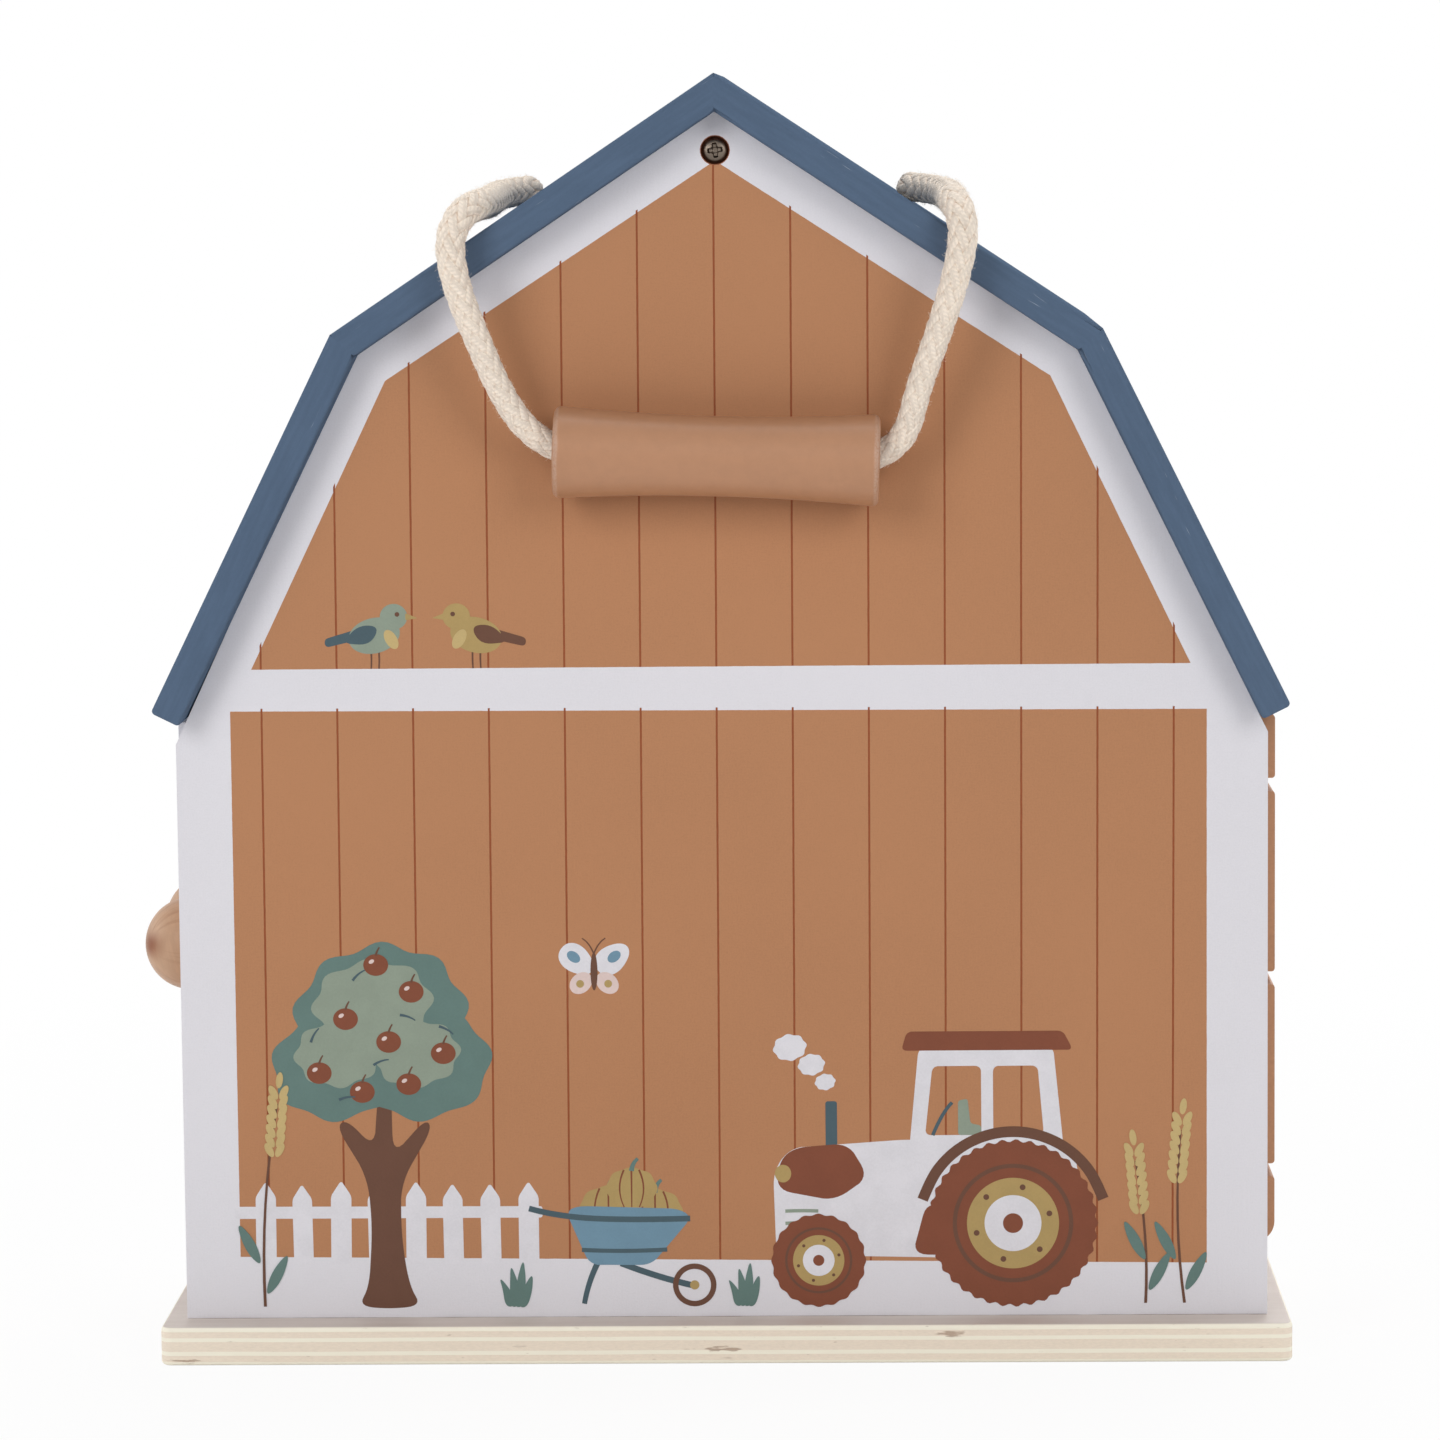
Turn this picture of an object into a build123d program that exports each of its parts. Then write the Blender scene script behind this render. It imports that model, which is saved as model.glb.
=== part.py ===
from build123d import *
import math
import os

# Toy farmhouse with a gambrel roof, in millimetres. X runs along the printed gable, Y from that gable
# to the open play side, Z up. The origin is the centre of the base board's underside.

# Base board and walls
base_margin_x = 5.75
base_margin_y = 11.4
base_thickness = 10.0
base_corner_radius = 3.0
base_edge_round = 1.0
house_width = 278.5
house_depth = 94.5
gable_thickness = 6.0
board_thickness = 8.0
left_sill_height = 18.0
right_sill_height = 16.6
sill_depth = 12.0
sill_nose_round = 2.0
header_height = 13.8
rail_depth = 10.0
door_rail_drop = 21.0
ramp_rail_drop = 16.0

# Roof, with heights taken from the top of the base
apex_rise = 318.3
knee_half_width = 97.2
knee_rise = 253.7
eave_reach = 5.15
eave_rise = 158.3
roof_thickness = 8.0
roof_overhang = 10.0
eave_gap = 0.5
fit_slit_width = 0.6
fit_slit_height = 25.25

# Painted trim round the gable fields, which is the frame left on the play side
trim_side = 13.8
trim_bottom = 14.5
trim_upper = 11.2
trim_lower = 9.8
mid_rail_drop = 1.0
mid_rail_height = 11.3

# Loft
loft_above_eave = 3.25
loft_thickness = 6.0
beam_half_width = 9.0
beam_below_screw = 8.0

# Doors, hung on pins in the sill and the header
door_hinge_gap = 0.4
door_meeting_gap = 1.0
door_end_gap = 0.4
door_pin_inset_x = 3.0
door_pin_inset_y = 3.5
door_edge_round = 3.0
door_rim_round = 0.8
pin_radius = 1.5
door_pin_length = 13.0
knob_radius = 12.1
knob_spacing = 43.5
knob_rise = 94.2

# Fold-down ramp with treads cut across it
ramp_thickness = 10.0
ramp_proud = 2.3
ramp_pivot_inset = 5.5
ramp_heel_round = 4.4
ramp_side_gap = 0.5
ramp_sill_gap = 0.8
ramp_pin_length = 16.0
pin_hole_depth = 4.0
tread_first_rise = 36.3
tread_pitch = 50.0
tread_top_margin = 14.0
tread_height = 3.4
tread_depth = 3.2
tread_lip_round = 0.9

# Fasteners, dowels and magnets
running_clearance = 0.05
cut_margin = 1.0
screw_below_apex = 19.3
screw_bore_radius = 3.6
screw_bore_depth = 3.0
screw_head_radius = 3.3
screw_head_height = 2.4
screw_shank_radius = 1.6
screw_length = 22.0
slot_width = 0.9
slot_reach = 2.1
slot_depth = 1.3
base_screw_inset = 11.25
base_screw_length = 24.0
knob_screw_length = 14.0
dowel_radius = 2.0
dowel_length = 12.0
dowel_bore_depth = 3.5
dowel_inset = 4.0
magnet_radius = 2.5
magnet_thickness = 2.0
door_magnet_offset = 8.0
magnet_below_leaf_top = 3.6

# Rope handle
rope_radius = 4.0
rope_hole_x = 48.0
rope_hole_clearance = 0.75
rope_pivot_lift = 3.0
moving_gap = 0.3
knot_radius = 10.0
knot_tail = 8.0
grip_length = 82.0
grip_end_radius = 11.7
grip_waist_radius = 10.1
grip_edge_round = 1.8
grip_bore_clearance = 0.5
grip_mouth_radius = 7.2
grip_mouth_depth = 7.0

# Rope run from the left roof hole to the right one, through the grip: across, before the gable's face, and up
rope_start = (-49.7, 0.0, 298.9)
rope_end = (49.7, 0.0, 298.9)
rope_run = [
    (-56.2, -36.25, 299.4),
    (-57.6, -22.25, 298.6),
    (-57.8, -7.25, 297.6),
    (-59.4, 6.25, 296.9),
    (-63.2, 14.75, 294.2),
    (-66.4, 18.95, 287.0),
    (-64.2, 18.95, 275.0),
    (-59.4, 17.15, 262.5),
    (-54.2, 14.55, 249.5),
    (-47.8, 12.45, 239.4),
    (-38.8, 12.0, 233.9),
    (38.8, 12.0, 231.2),
    (47.6, 12.35, 236.6),
    (50.8, 14.35, 249.5),
    (55.6, 16.95, 262.5),
    (60.0, 18.95, 276.0),
    (62.4, 19.15, 287.5),
    (61.2, 14.55, 294.2),
    (59.2, 6.25, 297.2),
    (59.6, -7.25, 297.8),
    (59.0, -22.25, 298.8),
    (56.2, -36.25, 299.5),
]

# Places worked out from the values above
base_depth = house_depth + 2 * base_margin_y
roof_length = house_depth + 2 * roof_overhang
gable_face = house_depth / 2
inner_face = gable_face - gable_thickness
rope_route = [rope_start, *((x, -gable_face - forward, z) for x, forward, z in rope_run), rope_end]
wall_x = house_width / 2
base_top = base_thickness
left_sill_top = base_top + left_sill_height
right_sill_top = base_top + right_sill_height


def unit(start, end):
    length = math.dist(start, end)
    return ((end[0] - start[0]) / length, (end[1] - start[1]) / length)


# Right half of the roof's outline in X and Z: apex, knee, eave
apex = (0.0, base_top + apex_rise)
knee = (knee_half_width, base_top + knee_rise)
eave = (wall_x + eave_reach, base_top + eave_rise)
upper_run = unit(apex, knee)
lower_run = unit(knee, eave)
upper_inward = (upper_run[1], -upper_run[0])
lower_inward = (lower_run[1], -lower_run[0])
upper_outward = (-upper_inward[0], -upper_inward[1])


def moved_in(upper_offset, lower_offset):
    """Apex, knee and a point on the lower slope, moved in from the roof's outer face by an offset for each slope."""
    top = (0.0, apex[1] + upper_offset / upper_inward[1])
    start = (top[0], top[1])
    foot = (eave[0] + lower_inward[0] * lower_offset, eave[1] + lower_inward[1] * lower_offset)
    cross = upper_run[0] * lower_run[1] - upper_run[1] * lower_run[0]
    along = ((foot[0] - start[0]) * lower_run[1] - (foot[1] - start[1]) * lower_run[0]) / cross
    bend = (start[0] + upper_run[0] * along, start[1] + upper_run[1] * along)
    return top, bend, foot


def x_on_slope(foot, z):
    """X where the lower slope's line through foot reaches the height z."""
    return foot[0] + (z - foot[1]) * lower_run[0] / lower_run[1]


def z_on_slope(foot, x):
    """Height where the lower slope's line through foot reaches x."""
    return foot[1] + (x - foot[0]) * lower_run[1] / lower_run[0]


inner_apex, inner_knee, inner_eave = moved_in(roof_thickness, roof_thickness)
screw_z = apex[1] - screw_below_apex
loft_bottom = inner_eave[1] + loft_above_eave
loft_top = loft_bottom + loft_thickness
rail_bottom_z = loft_bottom - mid_rail_drop
rail_top_z = rail_bottom_z + mid_rail_height
wall_corner_z = z_on_slope(inner_eave, wall_x)
header_top = inner_eave[1] - eave_gap
header_bottom = header_top - header_height
door_bottom = left_sill_top + door_end_gap
door_top = header_bottom - door_end_gap
door_inner_x = wall_x - board_thickness
door_rail_x = door_inner_x - moving_gap
door_pin_x = wall_x - door_pin_inset_x
door_pin_y = inner_face - door_pin_inset_y
ramp_outer_x = wall_x + ramp_proud
ramp_inner_x = ramp_outer_x - ramp_thickness
ramp_rail_x = ramp_inner_x - moving_gap
ramp_pivot_x = ramp_outer_x - ramp_pivot_inset
ramp_bottom = right_sill_top + ramp_sill_gap
ramp_pivot_z = ramp_bottom + ramp_pivot_inset
ramp_top = inner_eave[1] - eave_gap
ramp_half_width = inner_face - ramp_side_gap
knob_z = base_top + knob_rise
beam_bottom = screw_z - beam_below_screw
rope_hole_radius = rope_radius + rope_hole_clearance
grip_bore_radius = rope_radius + grip_bore_clearance


def mirrored(points):
    """The same X and Z points on the left side, in the order that closes the outline."""
    return [(-x, z) for x, z in reversed(points)]


def prism(points, y_low, y_high):
    """A closed outline in X and Z, drawn out along Y."""
    outline = Polyline(*[(x, y_low, z) for x, z in points], close=True)
    return extrude(make_face(outline), amount=y_high - y_low, dir=(0, 1, 0))


def block(low, high):
    size = [b - a for a, b in zip(low, high)]
    centre = [(a + b) / 2 for a, b in zip(low, high)]
    return Pos(*centre) * Box(*size)


def rod(start, end, radius):
    """A round bar from start to end."""
    axis = Vector(*end) - Vector(*start)
    place = Plane(origin=start, z_dir=axis)
    return place * Cylinder(radius, axis.length, align=(Align.CENTER, Align.CENTER, Align.MIN))


def cone(start, end, start_radius, end_radius):
    axis = Vector(*end) - Vector(*start)
    place = Plane(origin=start, z_dir=axis)
    return place * Cone(start_radius, end_radius, axis.length, align=(Align.CENTER, Align.CENTER, Align.MIN))


def step(point, direction, distance):
    return tuple(p + d * distance for p, d in zip(point, direction))


def cross_slot(face_point, inward):
    """The two crossed slots of a screw head, cut from face_point along inward."""
    place = Plane(origin=face_point, z_dir=inward)
    deep = (Align.CENTER, Align.CENTER, Align.MIN)
    bars = Box(2 * slot_reach, slot_width, slot_depth, align=deep) + Box(slot_width, 2 * slot_reach, slot_depth, align=deep)
    return place * bars


def countersunk_screw(face_point, inward, length):
    """A flat-headed wood screw whose head lies flush at face_point."""
    neck = step(face_point, inward, screw_head_height)
    tip = step(face_point, inward, length)
    head = cone(face_point, neck, screw_head_radius, screw_shank_radius)
    return head + rod(neck, tip, screw_shank_radius) - cross_slot(face_point, inward)


def countersunk_hole(face_point, inward, length):
    """The hole that such a screw fills, wider by the running clearance."""
    neck = step(face_point, inward, screw_head_height)
    end = step(face_point, inward, length + running_clearance)
    mouth = cone(face_point, neck, screw_head_radius + running_clearance, screw_shank_radius + running_clearance)
    return mouth + rod(neck, end, screw_shank_radius + running_clearance)


# Horizontal members between the gables, as low and high corners
left_sill_box = ((-wall_x, -inner_face, base_top), (sill_depth - wall_x, inner_face, left_sill_top))
right_sill_box = ((wall_x - sill_depth, -inner_face, base_top), (wall_x, inner_face, right_sill_top))
header_box = ((-wall_x, -inner_face, header_bottom), (-door_rail_x, inner_face, header_top))
door_rail_box = ((-door_rail_x, -inner_face, loft_bottom - door_rail_drop), (rail_depth - door_rail_x, inner_face, loft_bottom))
ramp_rail_box = ((ramp_rail_x - rail_depth, -inner_face, loft_bottom - ramp_rail_drop), (ramp_rail_x, inner_face, loft_bottom))
dowelled_boxes = [left_sill_box, right_sill_box, header_box, door_rail_box, ramp_rail_box]


def dowel_bars(radius, extra):
    """Round bars through each member's end and into the gable beside it, extra longer at both ends."""
    bars = []
    for low, high in dowelled_boxes:
        inner_x = min(low[0], high[0], key=abs)
        x = math.copysign(abs(inner_x) + dowel_inset, inner_x)
        z = high[2] - dowel_inset
        for side in (-1, 1):
            outer = side * (inner_face + dowel_bore_depth + extra)
            inner = side * (inner_face + dowel_bore_depth - dowel_length - extra)
            bars.append(rod((x, outer, z), (x, inner, z), radius))
    return bars


dowel_holes = Compound(children=dowel_bars(dowel_radius + running_clearance, running_clearance))


def cut_all(shape, tools):
    for tool in tools:
        shape = shape - tool
    return shape


def ramp_pin_bars(radius, extra):
    bars = []
    for side in (-1, 1):
        outer = side * (inner_face + pin_hole_depth - moving_gap + extra)
        inner = side * (inner_face + pin_hole_depth - moving_gap - ramp_pin_length - extra)
        bars.append(rod((ramp_pivot_x, outer, ramp_pivot_z), (ramp_pivot_x, inner, ramp_pivot_z), radius))
    return bars


def gable_outline(slit):
    """The wall under the roof. On the printed gable the left slope was trimmed a little short near the eave."""
    right = [(wall_x, base_top), (wall_x, wall_corner_z), inner_knee, inner_apex]
    left = mirrored(right)[1:]
    if slit:
        top_z = inner_eave[1] + fit_slit_height
        top = (-x_on_slope(inner_eave, top_z), top_z)
        low = (-x_on_slope(inner_eave, inner_eave[1]) + fit_slit_width, inner_eave[1])
        fall = (low[1] - top[1]) / (low[0] - top[0])
        corner = (-wall_x, low[1] + (-wall_x - low[0]) * fall)
        left = [(-inner_knee[0], inner_knee[1]), top, low, corner, (-wall_x, base_top)]
    return right + left


def gable_bores(side):
    """Apex screw bore, dowel bores and the ramp's pin bore of one gable."""
    outer = side * gable_face
    seat = side * (gable_face - screw_bore_depth)
    through = side * inner_face
    bore = rod((0, outer, screw_z), (0, seat, screw_z), screw_bore_radius)
    shank = rod((0, seat, screw_z), (0, through, screw_z), screw_shank_radius + running_clearance)
    pins = ramp_pin_bars(pin_radius + running_clearance, moving_gap)
    return [bore, shank, *dowel_bars(dowel_radius + running_clearance, running_clearance), *pins]


def front_gable():
    wall = prism(gable_outline(slit=True), -gable_face, -inner_face)
    return cut_all(wall, gable_bores(-1))


def field_outlines():
    """Lower and upper field inside the trim, as X and Z points."""
    edge = wall_x - trim_side
    low = base_top + trim_bottom
    lower = [(-edge, low), (edge, low), (edge, rail_bottom_z), (-edge, rail_bottom_z)]
    top, bend, foot = moved_in(roof_thickness + trim_upper, roof_thickness + trim_lower)
    right = [(x_on_slope(foot, rail_top_z), rail_top_z), bend, top]
    return lower, right + mirrored(right)[1:]


def rear_gable_frame():
    frame = prism(gable_outline(slit=False), inner_face, gable_face)
    lower, upper = field_outlines()
    near, far = inner_face - cut_margin, gable_face + cut_margin
    openings = [prism(lower, near, far), prism(upper, near, far)]
    return cut_all(frame, openings + gable_bores(1))


def base_board():
    size_x = wall_x + base_margin_x
    size_y = base_depth / 2
    board = block((-size_x, -size_y, 0), (size_x, size_y, base_thickness))
    board = fillet(board.edges().filter_by(Axis.Z), base_corner_radius)
    rims = board.faces().sort_by(Axis.Z)[-1].edges() + board.faces().sort_by(Axis.Z)[0].edges()
    board = fillet(rims, base_edge_round)
    return cut_all(board, [countersunk_hole(p, (0, 0, 1), base_screw_length) for p in base_screw_points()])


def base_screw_points():
    points = []
    for x in (-wall_x + sill_depth / 2, wall_x - sill_depth / 2):
        for y in (base_screw_inset - inner_face, inner_face - base_screw_inset):
            points.append((x, y, 0))
    return points


def base_screws():
    return Compound(children=[countersunk_screw(p, (0, 0, 1), base_screw_length) for p in base_screw_points()])


def sill_holes():
    return [countersunk_hole(p, (0, 0, 1), base_screw_length) for p in base_screw_points()]


def door_pin_bars(side, radius, extra):
    """The lower and the upper hinge pin of one leaf, half in the leaf and half in the sill or header."""
    half = door_pin_length / 2 + extra
    bars = []
    for z in (left_sill_top, header_bottom):
        bars.append(rod((-door_pin_x, side * door_pin_y, z - half), (-door_pin_x, side * door_pin_y, z + half), radius))
    return bars


def all_door_pin_holes():
    radius = pin_radius + running_clearance
    return door_pin_bars(-1, radius, moving_gap) + door_pin_bars(1, radius, moving_gap)


def left_sill():
    sill = block(*left_sill_box)
    return cut_all(sill, sill_holes() + all_door_pin_holes() + list(dowel_holes.children))


def right_sill():
    sill = block(*right_sill_box)
    edge = sill.edges().filter_by(Axis.Y).sort_by(lambda e: e.center().X + e.center().Z)[-1]
    sill = fillet(edge, sill_nose_round)
    return cut_all(sill, sill_holes() + list(dowel_holes.children))


def door_header():
    return cut_all(block(*header_box), all_door_pin_holes() + list(dowel_holes.children))


def magnet_disc(face_x, inward, y, z, extra):
    """A magnet let into a face that looks along X, flush with it."""
    end = (face_x + inward * (magnet_thickness + extra), y, z)
    return rod((face_x, y, z), end, magnet_radius + extra)


def door_magnets(extra):
    z = door_top - magnet_below_leaf_top
    return [magnet_disc(-door_rail_x, 1, side * door_magnet_offset, z, extra) for side in (-1, 1)]


def ramp_magnet(extra):
    return magnet_disc(ramp_rail_x, -1, 0, ramp_magnet_z(), extra)


def ramp_magnet_z():
    return (ramp_top + loft_bottom - ramp_rail_drop) / 2


def door_stop_rail():
    rail = block(*door_rail_box)
    return cut_all(rail, door_magnets(running_clearance) + list(dowel_holes.children))


def ramp_stop_rail():
    rail = block(*ramp_rail_box)
    return cut_all(rail, [ramp_magnet(running_clearance), *dowel_holes.children])


def catch_magnets():
    return Compound(children=[*door_magnets(0), ramp_magnet(0)])


def loft_floor():
    half = x_on_slope(inner_eave, loft_top) - moving_gap
    return block((-half, -inner_face, loft_bottom), (half, inner_face, loft_top))


def ridge_beam():
    slope_z = inner_apex[1] + beam_half_width * upper_run[1] / upper_run[0]
    right = [(beam_half_width, beam_bottom), (beam_half_width, slope_z), inner_apex]
    beam = prism(right + mirrored(right)[1:], -inner_face, inner_face)
    return cut_all(beam, [gable_screw(side, running_clearance) for side in (-1, 1)])


def gable_screw(side, extra):
    """One apex screw: head against the bottom of its bore, shank into the ridge beam."""
    seat = side * (gable_face - screw_bore_depth)
    top = seat + side * screw_head_height
    tip = top - side * (screw_length + extra)
    head = rod((0, top, screw_z), (0, seat, screw_z), screw_head_radius)
    shank = rod((0, seat, screw_z), (0, tip, screw_z), screw_shank_radius + extra)
    return head + shank


def gable_screws():
    screws = []
    for side in (-1, 1):
        top = side * (gable_face - screw_bore_depth + screw_head_height)
        screws.append(gable_screw(side, 0) - cross_slot((0, top, screw_z), (0, -side, 0)))
    return Compound(children=screws)


def frame_dowels():
    return Compound(children=dowel_bars(dowel_radius, 0))


# Rope holes, square to the upper slopes


def hole_point(side, height):
    """A point on one rope hole's axis, height above the roof's outer face."""
    surface_z = apex[1] + rope_hole_x * upper_run[1] / upper_run[0]
    return (side * (rope_hole_x + upper_outward[0] * height), 0, surface_z + upper_outward[1] * height)


def rope_hole(side):
    return rod(hole_point(side, rope_radius), hole_point(side, -2 * roof_thickness), rope_hole_radius)


def roof_upper(side):
    points = [apex, knee, inner_knee, inner_apex]
    board = prism([(side * x, z) for x, z in points], -roof_length / 2, roof_length / 2)
    return board - rope_hole(side)


def roof_lower(side):
    points = [knee, eave, inner_eave, inner_knee]
    return prism([(side * x, z) for x, z in points], -roof_length / 2, roof_length / 2)


def rope_knot(side):
    """The rope's end: the stub in the roof hole, the knot that stops it under the board and the short tail."""
    centre = hole_point(side, -roof_thickness - knot_radius)
    tail_end = hole_point(side, -roof_thickness - 2 * knot_radius - knot_tail)
    stub_top = hole_point(side, rope_pivot_lift - rope_radius - moving_gap)
    return rod(tail_end, stub_top, rope_radius) + Pos(*centre) * Sphere(knot_radius)


def handle_rope():
    """The rope's free stretch: straight runs joined by tangent arcs, with a ball at each roof hole."""
    radii = bend_radii(rope_route)
    path = FilletPolyline(*rope_route, radius=radii)
    start = Plane(origin=rope_route[0], z_dir=Vector(*rope_route[1]) - Vector(*rope_route[0]))
    tube = sweep(start * Circle(rope_radius), path=path)
    section = math.pi * rope_radius**2
    print(f"rope: path {path.length:.1f} mm, volume over section times length {tube.volume / (section * path.length):.4f}")
    print("rope bend radii", [round(r, 1) for r in radii])
    for end in (rope_route[0], rope_route[-1]):
        tube = tube + Pos(*end) * Sphere(rope_radius)
    return tube


def bend_radii(points):
    """Each bend as large as its two runs allow."""
    radii = []
    for before, point, after in zip(points, points[1:], points[2:]):
        run_in = Vector(*point) - Vector(*before)
        run_out = Vector(*after) - Vector(*point)
        turn = math.radians(run_in.get_angle(run_out))
        radii.append(0.45 * min(run_in.length, run_out.length) / math.tan(turn / 2))
    return radii


def straight_stretch():
    """The route's longest run, which is the one inside the grip."""
    runs = [(Vector(*a), Vector(*b)) for a, b in zip(rope_route, rope_route[1:])]
    return max(runs, key=lambda run: (run[1] - run[0]).length)


def handle_grip():
    """Turned grip, narrower at the waist, threaded on the rope's straight stretch."""
    left, right = straight_stretch()
    half = grip_length / 2
    side_curve = ThreePointArc((grip_end_radius, -half), (grip_waist_radius, 0), (grip_end_radius, half))
    rim = Polyline((grip_end_radius, half), (0, half), (0, -half), (grip_end_radius, -half))
    body = revolve(Plane.XZ * make_face(side_curve + rim), axis=Axis.Z)
    body = fillet(body.edges().filter_by(GeomType.CIRCLE), grip_edge_round)
    body = body - Cylinder(grip_bore_radius, grip_length)
    mouth = Cone(grip_bore_radius, grip_mouth_radius, grip_mouth_depth, align=(Align.CENTER, Align.CENTER, Align.MAX))
    for turn in (0, 180):
        body = body - Rot(turn, 0, 0) * Pos(0, 0, half) * mouth
    return Plane(origin=(left + right) * 0.5, z_dir=right - left) * body


# Door leaves


def leaf_outline(side):
    """The leaf seen from above, as a sketch: hinge edge rounded both sides, meeting edge square."""
    hinge_y = side * (inner_face - door_hinge_gap)
    meet_y = side * door_meeting_gap / 2
    width = abs(hinge_y - meet_y)
    middle = (hinge_y + meet_y) / 2
    return Pos(-(wall_x + door_inner_x) / 2, middle, door_bottom) * Rectangle(wall_x - door_inner_x, width)


def door_leaf(side):
    leaf = extrude(leaf_outline(side), amount=door_top - door_bottom, dir=(0, 0, 1))
    hinge_edges = leaf.edges().filter_by(Axis.Z).sort_by(lambda e: side * e.center().Y)[-2:]
    leaf = fillet(hinge_edges, door_edge_round)
    face = leaf.faces().filter_by(Axis.X).sort_by(Axis.X)[0]
    meeting = face.edges().filter_by(Axis.Z).sort_by(lambda e: side * e.center().Y)[0]
    leaf = fillet(meeting, door_rim_round)
    radius = pin_radius + running_clearance
    tools = door_pin_bars(side, radius, running_clearance)
    tools.append(countersunk_hole(knob_screw_point(side), (-1, 0, 0), knob_screw_length))
    tools.append(leaf_strike_disc(side, running_clearance))
    return cut_all(leaf, tools)


def knob_screw_point(side):
    return (-door_inner_x, side * knob_spacing / 2, knob_z)


def leaf_strike_disc(side, extra):
    z = door_top - magnet_below_leaf_top
    return magnet_disc(-door_inner_x, -1, side * door_magnet_offset, z, extra)


def door_pins(side):
    return Compound(children=door_pin_bars(side, pin_radius, 0))


def door_knob(side):
    """A half ball turned about X and screwed to the leaf, with the screw's pilot hole in its foot."""
    half_way = knob_radius / math.sqrt(2)
    dome = ThreePointArc((knob_radius, 0), (half_way, half_way), (0, knob_radius))
    pilot = screw_shank_radius + running_clearance
    depth = knob_screw_length - board_thickness + running_clearance
    foot = Polyline((0, knob_radius), (0, depth), (pilot, depth), (pilot, 0), (knob_radius, 0))
    ball = revolve(Plane.XZ * make_face(dome + foot), axis=Axis.Z)
    return Plane(origin=(-wall_x, side * knob_spacing / 2, knob_z), z_dir=(-1, 0, 0)) * ball


def door_knob_screw(side):
    return countersunk_screw(knob_screw_point(side), (-1, 0, 0), knob_screw_length)


# Ramp


def tread_grooves():
    grooves = []
    count = int((ramp_top - tread_top_margin - base_top - tread_first_rise) // tread_pitch) + 1
    for n in range(count):
        z = base_top + tread_first_rise + n * tread_pitch
        low = (ramp_outer_x - tread_depth, -ramp_half_width - cut_margin, z - tread_height / 2)
        high = (ramp_outer_x + cut_margin, ramp_half_width + cut_margin, z + tread_height / 2)
        grooves.append(block(low, high))
    return grooves


def ramp_board():
    board = block((ramp_inner_x, -ramp_half_width, ramp_bottom), (ramp_outer_x, ramp_half_width, ramp_top))
    heel = board.edges().filter_by(Axis.Y).group_by(Axis.Z)[0].sort_by(Axis.X)
    board = fillet(heel[0], ramp_heel_round)
    toe = board.edges().filter_by(Axis.Y).group_by(Axis.Z)[0].sort_by(Axis.X)[-1]
    board = fillet(toe, ramp_pivot_inset)
    board = cut_all(board, tread_grooves())
    lips = [e for e in board.edges().filter_by(Axis.Y) if abs(e.center().X - ramp_outer_x) < running_clearance]
    lips = [e for e in lips if e.center().Z > ramp_pivot_z + running_clearance]
    board = fillet(lips, tread_lip_round)
    tools = ramp_pin_bars(pin_radius + running_clearance, running_clearance)
    tools.append(ramp_strike_disc(running_clearance))
    return cut_all(board, tools)


def ramp_strike_disc(extra):
    return magnet_disc(ramp_inner_x, 1, 0, ramp_magnet_z(), extra)


def ramp_pins():
    return Compound(children=ramp_pin_bars(pin_radius, 0))


def all_parts():
    parts = {
        "base_board": base_board(),
        "front_gable": front_gable(),
        "rear_gable_frame": rear_gable_frame(),
        "left_sill": left_sill(),
        "right_sill": right_sill(),
        "door_header": door_header(),
        "door_stop_rail": door_stop_rail(),
        "ramp_stop_rail": ramp_stop_rail(),
        "loft_floor": loft_floor(),
        "ridge_beam": ridge_beam(),
        "gable_screws": gable_screws(),
        "base_screws": base_screws(),
        "frame_dowels": frame_dowels(),
        "catch_magnets": catch_magnets(),
        "ramp_board": ramp_board(),
        "ramp_pins": ramp_pins(),
        "ramp_strike": ramp_strike_disc(0),
        "handle_rope": handle_rope(),
        "handle_grip": handle_grip(),
    }
    for name, side in (("left", -1), ("right", 1)):
        parts[f"roof_{name}_upper"] = roof_upper(side)
        parts[f"roof_{name}_lower"] = roof_lower(side)
        parts[f"rope_knot_{name}"] = rope_knot(side)
    for name, side in (("front", -1), ("rear", 1)):
        parts[f"door_{name}_leaf"] = door_leaf(side)
        parts[f"door_{name}_pins"] = door_pins(side)
        parts[f"door_{name}_knob"] = door_knob(side)
        parts[f"door_{name}_knob_screw"] = door_knob_screw(side)
        parts[f"door_{name}_strike"] = leaf_strike_disc(side, 0)
    return parts


os.makedirs("parts", exist_ok=True)
for name, shape in all_parts().items():
    export_step(shape, f"parts/{name}.step")
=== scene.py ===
import math

import bmesh
import bpy
import numpy as np
from mathutils import Matrix, Vector
from mathutils.geometry import tessellate_polygon


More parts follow.
